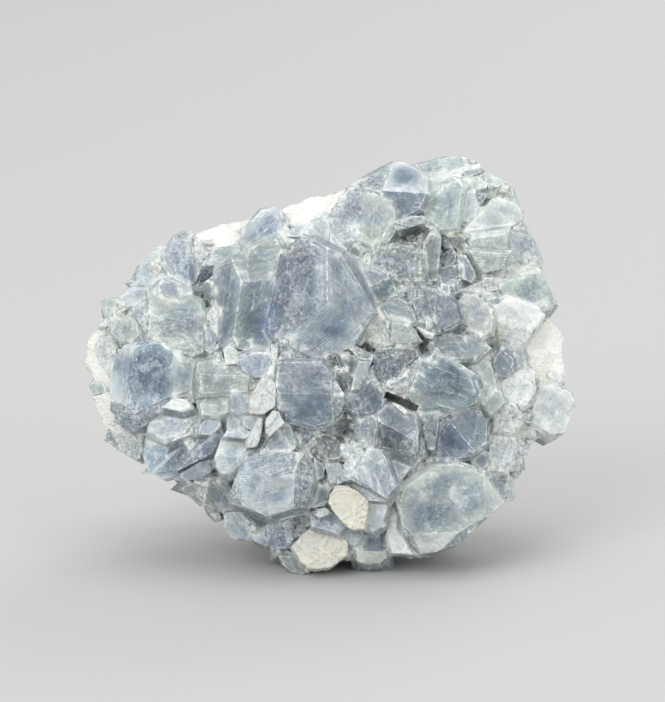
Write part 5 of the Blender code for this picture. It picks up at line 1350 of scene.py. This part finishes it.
class Finish:
    # a material, and one way to add each of its nodes
    def __init__(self, name):
        self.material = bpy.data.materials.new(name)
        self.material.use_nodes = True
        self.tree = self.material.node_tree
        self.tree.nodes.clear()
        self.output = self.tree.nodes.new("ShaderNodeOutputMaterial")
        self.place = self.add("ShaderNodeTexCoord", {}, {}, "Object")

    def add(self, kind, settings, sockets, result=0):
        node = self.tree.nodes.new(kind)
        for name, value in settings.items():
            setattr(node, name, value)
        for name, value in sockets.items():
            if isinstance(value, Amount):
                self.tree.links.new(value.socket, node.inputs[name])
            else:
                node.inputs[name].default_value = value
        return Amount(self, node.outputs[result])

    def noise(self, size, detail=2, roughness=0.5, distortion=0, place=None):
        # cloudy noise whose features are this many mm across
        return self.add("ShaderNodeTexNoise", {}, {
            "Vector": place or self.place, "Scale": 1 / (size * mm), "Detail": detail,
            "Roughness": roughness, "Distortion": distortion}, "Fac")

    def cells(self, size, feature="F1", result="Distance", place=None):
        return self.add("ShaderNodeTexVoronoi", {"feature": feature}, {
            "Vector": place or self.place, "Scale": 1 / (size * mm)}, result)

    def mix(self, amount, first, second):
        return self.add("ShaderNodeMix", {"data_type": "RGBA"},
                        {0: amount, 6: colourOf(first), 7: colourOf(second)}, 2)

    def vector(self, operation, first, second):
        # the second is a number where a vector is scaled
        return self.add("ShaderNodeVectorMath", {"operation": operation},
                        {0: first, 3 if operation == "SCALE" else 1: second})

    def read(self, name, result="Fac"):
        return self.add("ShaderNodeAttribute", {"attribute_name": name}, {}, result)

    def bump(self, height, distance, strength=1.0, normal=None):
        sockets = {"Height": height, "Distance": distance * mm, "Strength": strength}
        if normal:
            sockets["Normal"] = normal
        return self.add("ShaderNodeBump", {}, sockets)

    def wear(self, surface, volume=None):
        self.tree.links.new(surface.socket, self.output.inputs["Surface"])
        if volume:
            self.tree.links.new(volume.socket, self.output.inputs["Volume"])
        return self.material


def colourOf(value):
    return (*tintColour(value), 1) if isinstance(value, str) else value


crystalGlass = {
    "index": 1.62,
    "through": (0.2, 0.52, 0.86, 1),      # colour of light that has gone a long way through
    "depth of colour": 14,               # per metre
    "glow": 0.25,                        # share of light that spreads under the milky faces
    "glow reach": 0.8,
}


def crystalFinish():
    finish = Finish("celestite")
    tint = finish.read("tint", "Color")
    clarity, frost, grit, groove, band = (
        finish.read(name) for name in ("clarity", "frost", "grit", "groove", "band"))
    grain, edge, crevice, hollow, worn = (
        finish.read(name) for name in ("grain", "edge", "crevice", "hollow", "worn"))

    # What lies inside the crystals: veils, clouds, deeper colour and stains in their middles,
    # streaks that are drawn out along each crystal, and cleavage planes with cracks between
    window = edge.step(0.6, 4.5)
    veils = finish.noise(6, 4, 0.65, 1.4).step(0.46, 0.74)
    clouds = finish.noise(13, 2, 0.5, 0.4).step(0.35, 0.7)
    depths = finish.noise(8, 3, 0.6, 0.8).step(0.42, 0.68)
    stains = finish.noise(11, 3, 0.6, 0.5).step(0.58, 0.74)
    along = finish.read("along", "Vector")
    share = finish.vector("DOT_PRODUCT", finish.place, along).other("Value")
    drawnOut = finish.vector("SUBTRACT", finish.place,
                             finish.vector("SCALE", along, share * 0.85))
    patchy = finish.noise(7, 3, 0.6).step(0.42, 0.62)
    streaks = finish.noise(1.4, 4, 0.7, 0.5, drawnOut).step(0.52, 0.64) * (patchy * 0.7 + 0.3)
    darkStreaks = finish.noise(2.4, 3, 0.65, 0.8, drawnOut).step(0.52, 0.7) * (1 - patchy * 0.6)
    shortened = finish.vector("SUBTRACT", finish.place,
                              finish.vector("SCALE", along, share * 0.5))
    shortened = finish.vector("ADD", shortened, finish.vector(
        "SCALE", finish.noise(5, 3, 0.6).other("Color"), 2.5 * mm))
    cleavage = finish.cells(4.2, "F1", "Color", shortened)
    cracks = 1 - finish.cells(4.2, "DISTANCE_TO_EDGE", "Distance", shortened).step(0, 0.035)
    cracks = cracks * finish.noise(4, 3, 0.6).step(0.44, 0.58)
    wander = finish.noise(6, 2) * 5 + grain * 2.4
    lines = (wander.wave() * 0.5 + 0.5).step(0.3, 0.9) * finish.noise(3, 3).step(0.35, 0.6)

    # What lies on their faces, and painted glints: bright white points, denser near their edges
    sugar = finish.cells(0.5).step(0.1, 0.6)
    # specks: white grains on gritty faces, and also painted sparkle, small white points standing
    # for glints
    specks = finish.noise(0.6, 2, 0.6).step(0.56, 0.68)
    sand = finish.noise(0.95, 3, 0.75)
    broken = finish.noise(3, 3, 0.7).step(0.42, 0.6)
    crumbs = finish.noise(1.6, 3, 0.7).step(0.42, 0.62)
    fineLines = (finish.noise(9, 1) * 9 + grain * 7).wave() * 0.5 + 0.5
    fineLines = fineLines * finish.noise(4, 3).step(0.4, 0.6)
    rimLine = (1 - edge.step(0, 0.6)) * crumbs
    # painted glints: small white points that stand for highlights
    paintedGlints = 1 - finish.cells(0.95).step(0.1, 0.2)
    paintedGlints = paintedGlints * (finish.noise(5, 4, 0.65).step(0.44, 0.6) * 0.8 + (1 - window) * 0.3)

    # How milky each place is, where 0 is clear
    milk = (1 - clarity) * 0.55 + 0.3 + veils * 0.2 + streaks * 0.12 + clouds * 0.1
    milk = milk + rimLine * 0.3 + worn * broken * 0.5 - window * 0.14
    milk = milk + specks * grit * 0.3 + lines * band * 0.12 + fineLines * groove * 0.1
    # milkier, and so lighter, near the crevices: painted light that lifts their shade; less milky
    # in the hollows: painted shade
    milk = ((milk + (1 - crevice) * 0.4) * (1 - hollow * 0.5)).step(-0.1, 1.05)
    dull = frost * 0.35 + (1 - clarity) * 0.2 + veils * 0.1 + grit * 0.1

    # The colour of the milky share
    pale = finish.mix(window * (depths * 0.7 + 0.2) * (clarity + 0.35), tint, "deepWindow")
    pale = finish.mix(cleavage.step(0.5, 0.75) * 0.3, pale, "steel")
    pale = finish.mix(clouds * 0.25, pale, "greenWhite")
    pale = finish.mix(darkStreaks * 0.4, pale, "steel")
    pale = finish.mix(stains * 0.3, pale, "oliveGrey")
    white = veils * 0.4 + streaks * 0.35 + rimLine * 0.5 + worn * (broken * 0.8 + 0.15)
    white = white + cracks * 0.5 + (1 - cleavage.step(0.3, 0.5)) * 0.14
    # the specks add white grains and painted sparkle, the glints painted highlights
    white = white + specks * (grit * 0.6 + 0.2) + fineLines * groove * 0.4 + paintedGlints * 0.8
    pale = finish.mix(white.step(0, 1.1), pale, "white")
    pale = finish.mix(lines * band * 0.2, pale, "oliveGrey")
    # near the crevices, white sugar crust that is also painted light lifting their shade, held back
    # by the painted shade in the hollows
    sugarAndPaintedLight = (1 - crevice) * (1 - hollow)
    pale = finish.mix(sugarAndPaintedLight * (crumbs * 0.5 + 0.3), pale, "crust")
    darkSand = (1 - sand.step(0.34, 0.52)) * (grit * 0.25 + 0.16) * (clarity + 0.35)
    pale = finish.mix(darkSand, pale, "slate")
    pale = finish.mix(sand.step(0.52, 0.66) * (grit * 0.4 + 0.3), pale, "rock")

    # Faces that waver, with a small turn of their own for each cleavage plane and each grain
    wavy = finish.noise(4, 2) * 0.5 + finish.noise(1.2, 2) * 0.2
    normal = finish.add("ShaderNodeNewGeometry", {}, {}, "Normal")
    sparkle = grit * 0.8 + worn * 0.4 + frost * 0.2 + 0.15
    for facets, turn in ((cleavage, 0.2), (finish.cells(0.8, "F1", "Color"), sparkle)):
        turned = finish.vector("SUBTRACT", facets, (0.5, 0.5, 0.5))
        normal = finish.vector("ADD", normal, finish.vector("SCALE", turned, turn))
    normal = finish.bump(wavy, 0.3, 0.4, normal)
    normal = finish.bump(fineLines * groove + lines * band * 0.3 + streaks * 0.3, 0.08, 0.6, normal)
    normal = finish.bump(sugar * (grit + 0.15) + sand * (frost * 0.8 + 0.4), 0.14, 0.8, normal)

    clear = finish.add("ShaderNodeBsdfPrincipled", {}, {
        "Base Color": finish.mix(0.6, "white", tint), "Roughness": dull + 0.03,
        "IOR": crystalGlass["index"], "Transmission Weight": 1.0, "Normal": normal})
    milky = finish.add("ShaderNodeBsdfPrincipled", {}, {
        "Base Color": pale, "Roughness": frost * 0.25 + 0.14, "IOR": crystalGlass["index"],
        "Subsurface Weight": crystalGlass["glow"], "Subsurface Radius": (1, 1, 1),
        "Subsurface Scale": crystalGlass["glow reach"] * mm, "Normal": normal})
    surface = finish.add("ShaderNodeMixShader", {}, {0: milk, 1: clear, 2: milky})
    inside = finish.add("ShaderNodeVolumeAbsorption", {}, {
        "Color": crystalGlass["through"], "Density": crystalGlass["depth of colour"]})
    return finish.wear(surface, inside)


crust.data.materials.clear()
crust.data.materials.append(crystalFinish())
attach(crust, "root")
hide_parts("crystal_crust")
print("crystals finished")


def roughen(piece, grain, strength, kind="CLOUDS"):
    texture = bpy.data.textures.new(piece.name + kind, kind)
    texture.noise_scale = grain * mm
    push = piece.modifiers.new("roughen", "DISPLACE")
    push.texture = texture
    push.texture_coords = "LOCAL"
    push.strength = strength * mm
    push.mid_level = 0.5
    applied(piece, push)


def remake(piece, size):
    # an even fine mesh in place of the plain one
    choose(piece)
    piece.data.remesh_voxel_size = size * mm
    bpy.ops.object.voxel_remesh()


def standOnFloor(piece):
    # what the roughening pushed through the floor goes back up to it
    places = points(piece)
    places[:, 2] = np.maximum(places[:, 2], 0)
    piece.data.vertices.foreach_set("co", places.ravel())
    piece.data.update()


rockShape = {"mesh": 1.0, "lump": 9, "lump height": 2.2, "grain": 2.6, "grain height": 1.1,
             "sugar": 1.1, "sugar height": 0.5}

rock = mergedCopy("rock_matrix", "whiteRock")
remake(rock, rockShape["mesh"])
roughen(rock, rockShape["lump"], rockShape["lump height"])
roughen(rock, rockShape["grain"], rockShape["grain height"])
roughen(rock, rockShape["sugar"], rockShape["sugar height"], "VORONOI")
standOnFloor(rock)
print("rock roughened:", len(rock.data.polygons), "faces")


def rockFinish():
    finish = Finish("whiteRock")
    mottle = finish.noise(9, 4, 0.6).step(0.4, 0.65)
    tan = finish.noise(4, 5, 0.7).step(0.58, 0.72)
    specks = finish.cells(1.6).step(0.12, 0.22)
    colour = finish.mix(mottle * 0.4, "rock", "cream")
    colour = finish.mix(tan * 0.3, colour, "brownCream")
    colour = finish.mix((1 - specks) * 0.3, colour, "greyBlue")
    colour = finish.mix((1 - finish.noise(0.8, 3, 0.7).step(0.3, 0.46)) * 0.3, colour, "greyBrown")
    grains = finish.cells(0.9) + finish.noise(0.5, 3)
    normal = finish.bump(grains + finish.noise(2.2, 4, 0.7), 0.4, 0.9)
    surface = finish.add("ShaderNodeBsdfPrincipled", {}, {
        "Base Color": colour, "Roughness": finish.noise(1.5, 2) * 0.3 + 0.6, "Normal": normal})
    return finish.wear(surface)


rock.data.materials.clear()
rock.data.materials.append(rockFinish())
choose(rock)
bpy.ops.object.shade_smooth()
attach(rock, "root")
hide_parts("rock_matrix")
print("rock finished")

paleShape = {"wider": 0.35, "mesh": 0.45, "dent": 4, "dent height": 1.2, "grain": 1.2,
             "grain height": 0.35}


def stoneFinish(name, base, stain, vein):
    finish = Finish(name)
    blotch = finish.noise(5, 5, 0.65).step(0.38, 0.62)
    veins = finish.noise(1.8, 5, 0.75).step(0.5, 0.68)
    sand = finish.noise(0.8, 3, 0.7)
    colour = finish.mix(blotch * 0.8, base, stain)
    colour = finish.mix(veins * 0.45, colour, vein)
    colour = finish.mix((1 - sand.step(0.3, 0.5)) * 0.3, colour, "greyBrown")
    folds = (finish.noise(9, 2, 0.5, 1.2) * 26).wave()
    colour = finish.mix((1 - folds.step(-1, -0.3)) * 0.3, colour, "brownCream")
    normal = finish.bump(folds, 0.5, 0.6)
    normal = finish.bump(finish.noise(0.8, 4, 0.65) + finish.cells(1.2) * 0.5, 0.4, 0.9, normal)
    surface = finish.add("ShaderNodeBsdfPrincipled", {}, {
        "Base Color": colour, "Roughness": finish.noise(2, 2) * 0.25 + 0.55, "Normal": normal})
    return finish.wear(surface)


creamStone = stoneFinish("creamStone", "chalk", "straw", "cream")
chalk = stoneFinish("whiteChalk", "chalk", "ice", "lavenderGrey")
paleNodes = {"cream_stone_lower": ("creamStoneLower", "cream_stone", creamStone),
             "cream_stone_upper": ("creamStoneUpper", "cream_stone", creamStone),
             "white_plate_upper": ("whitePlateUpper", "white_chip", chalk),
             "white_plate_lower": ("whitePlateLower", "white_chip", chalk),
             "white_blade": ("whiteBlade", "white_chip", chalk)}
for node, (name, slotName, material) in paleNodes.items():
    stone = mergedCopy(node, name)
    grow(stone, paleShape["wider"])
    remake(stone, paleShape["mesh"])
    roughen(stone, paleShape["dent"], paleShape["dent height"])
    roughen(stone, paleShape["grain"], paleShape["grain height"])
    standOnFloor(stone)
    stone.data.materials.clear()
    stone.data.materials.append(material)
    choose(stone)
    bpy.ops.object.shade_smooth()
    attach(stone, "root")
    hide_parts(node)
print("pale stones finished")

# Plain pale floor and soft studio light
studio = {
    "floor width": 12,           # metres
    "floor tone": 0.5,           # share of the light that it gives back
    "floor roughness": 0.9,
    "air": 0.75,                 # strength of the light from all round
    "air tint": (0.985, 1, 0.985, 1),
    "aim": (0, 0, 0.065),        # metres
}

bpy.ops.mesh.primitive_plane_add(size=studio["floor width"])
floor = bpy.context.object
floor.name = "floor"
floorFinish = Finish("paleFloor")
floor.data.materials.append(floorFinish.wear(floorFinish.add("ShaderNodeBsdfPrincipled", {}, {
    "Base Color": (*[studio["floor tone"]] * 3, 1), "Roughness": studio["floor roughness"]})))

world = bpy.data.worlds.new("studio")
bpy.context.scene.world = world
world.use_nodes = True
air = world.node_tree.nodes["Background"].inputs
air["Color"].default_value = studio["air tint"]
air["Strength"].default_value = studio["air"]

# Each light: where it stands, its width and height in metres, and its power in watts
lights = {
    "keyLeft": ((-1.2, -2.0, 1.5), 1.6, 1.6, 34),
    "fillRight": ((1.8, -1.8, 0.8), 1.4, 1.6, 14),
    "top": ((0.1, -0.1, 2.2), 2.0, 1.6, 14),
    "back": ((1.0, 1.8, 1.3), 1.2, 1.2, 14),
}
for name, (place, width, height, power) in lights.items():
    bpy.ops.object.light_add(type="AREA", location=place)
    lamp = bpy.context.object
    lamp.name = name
    lamp.data.shape = "RECTANGLE"
    lamp.data.size = width
    lamp.data.size_y = height
    lamp.data.energy = power
    aim = Vector(place) - Vector(studio["aim"])
    lamp.rotation_euler = aim.to_track_quat("Z", "Y").to_euler()
bpy.context.scene.view_settings.view_transform = "Standard"
print("studio lit")
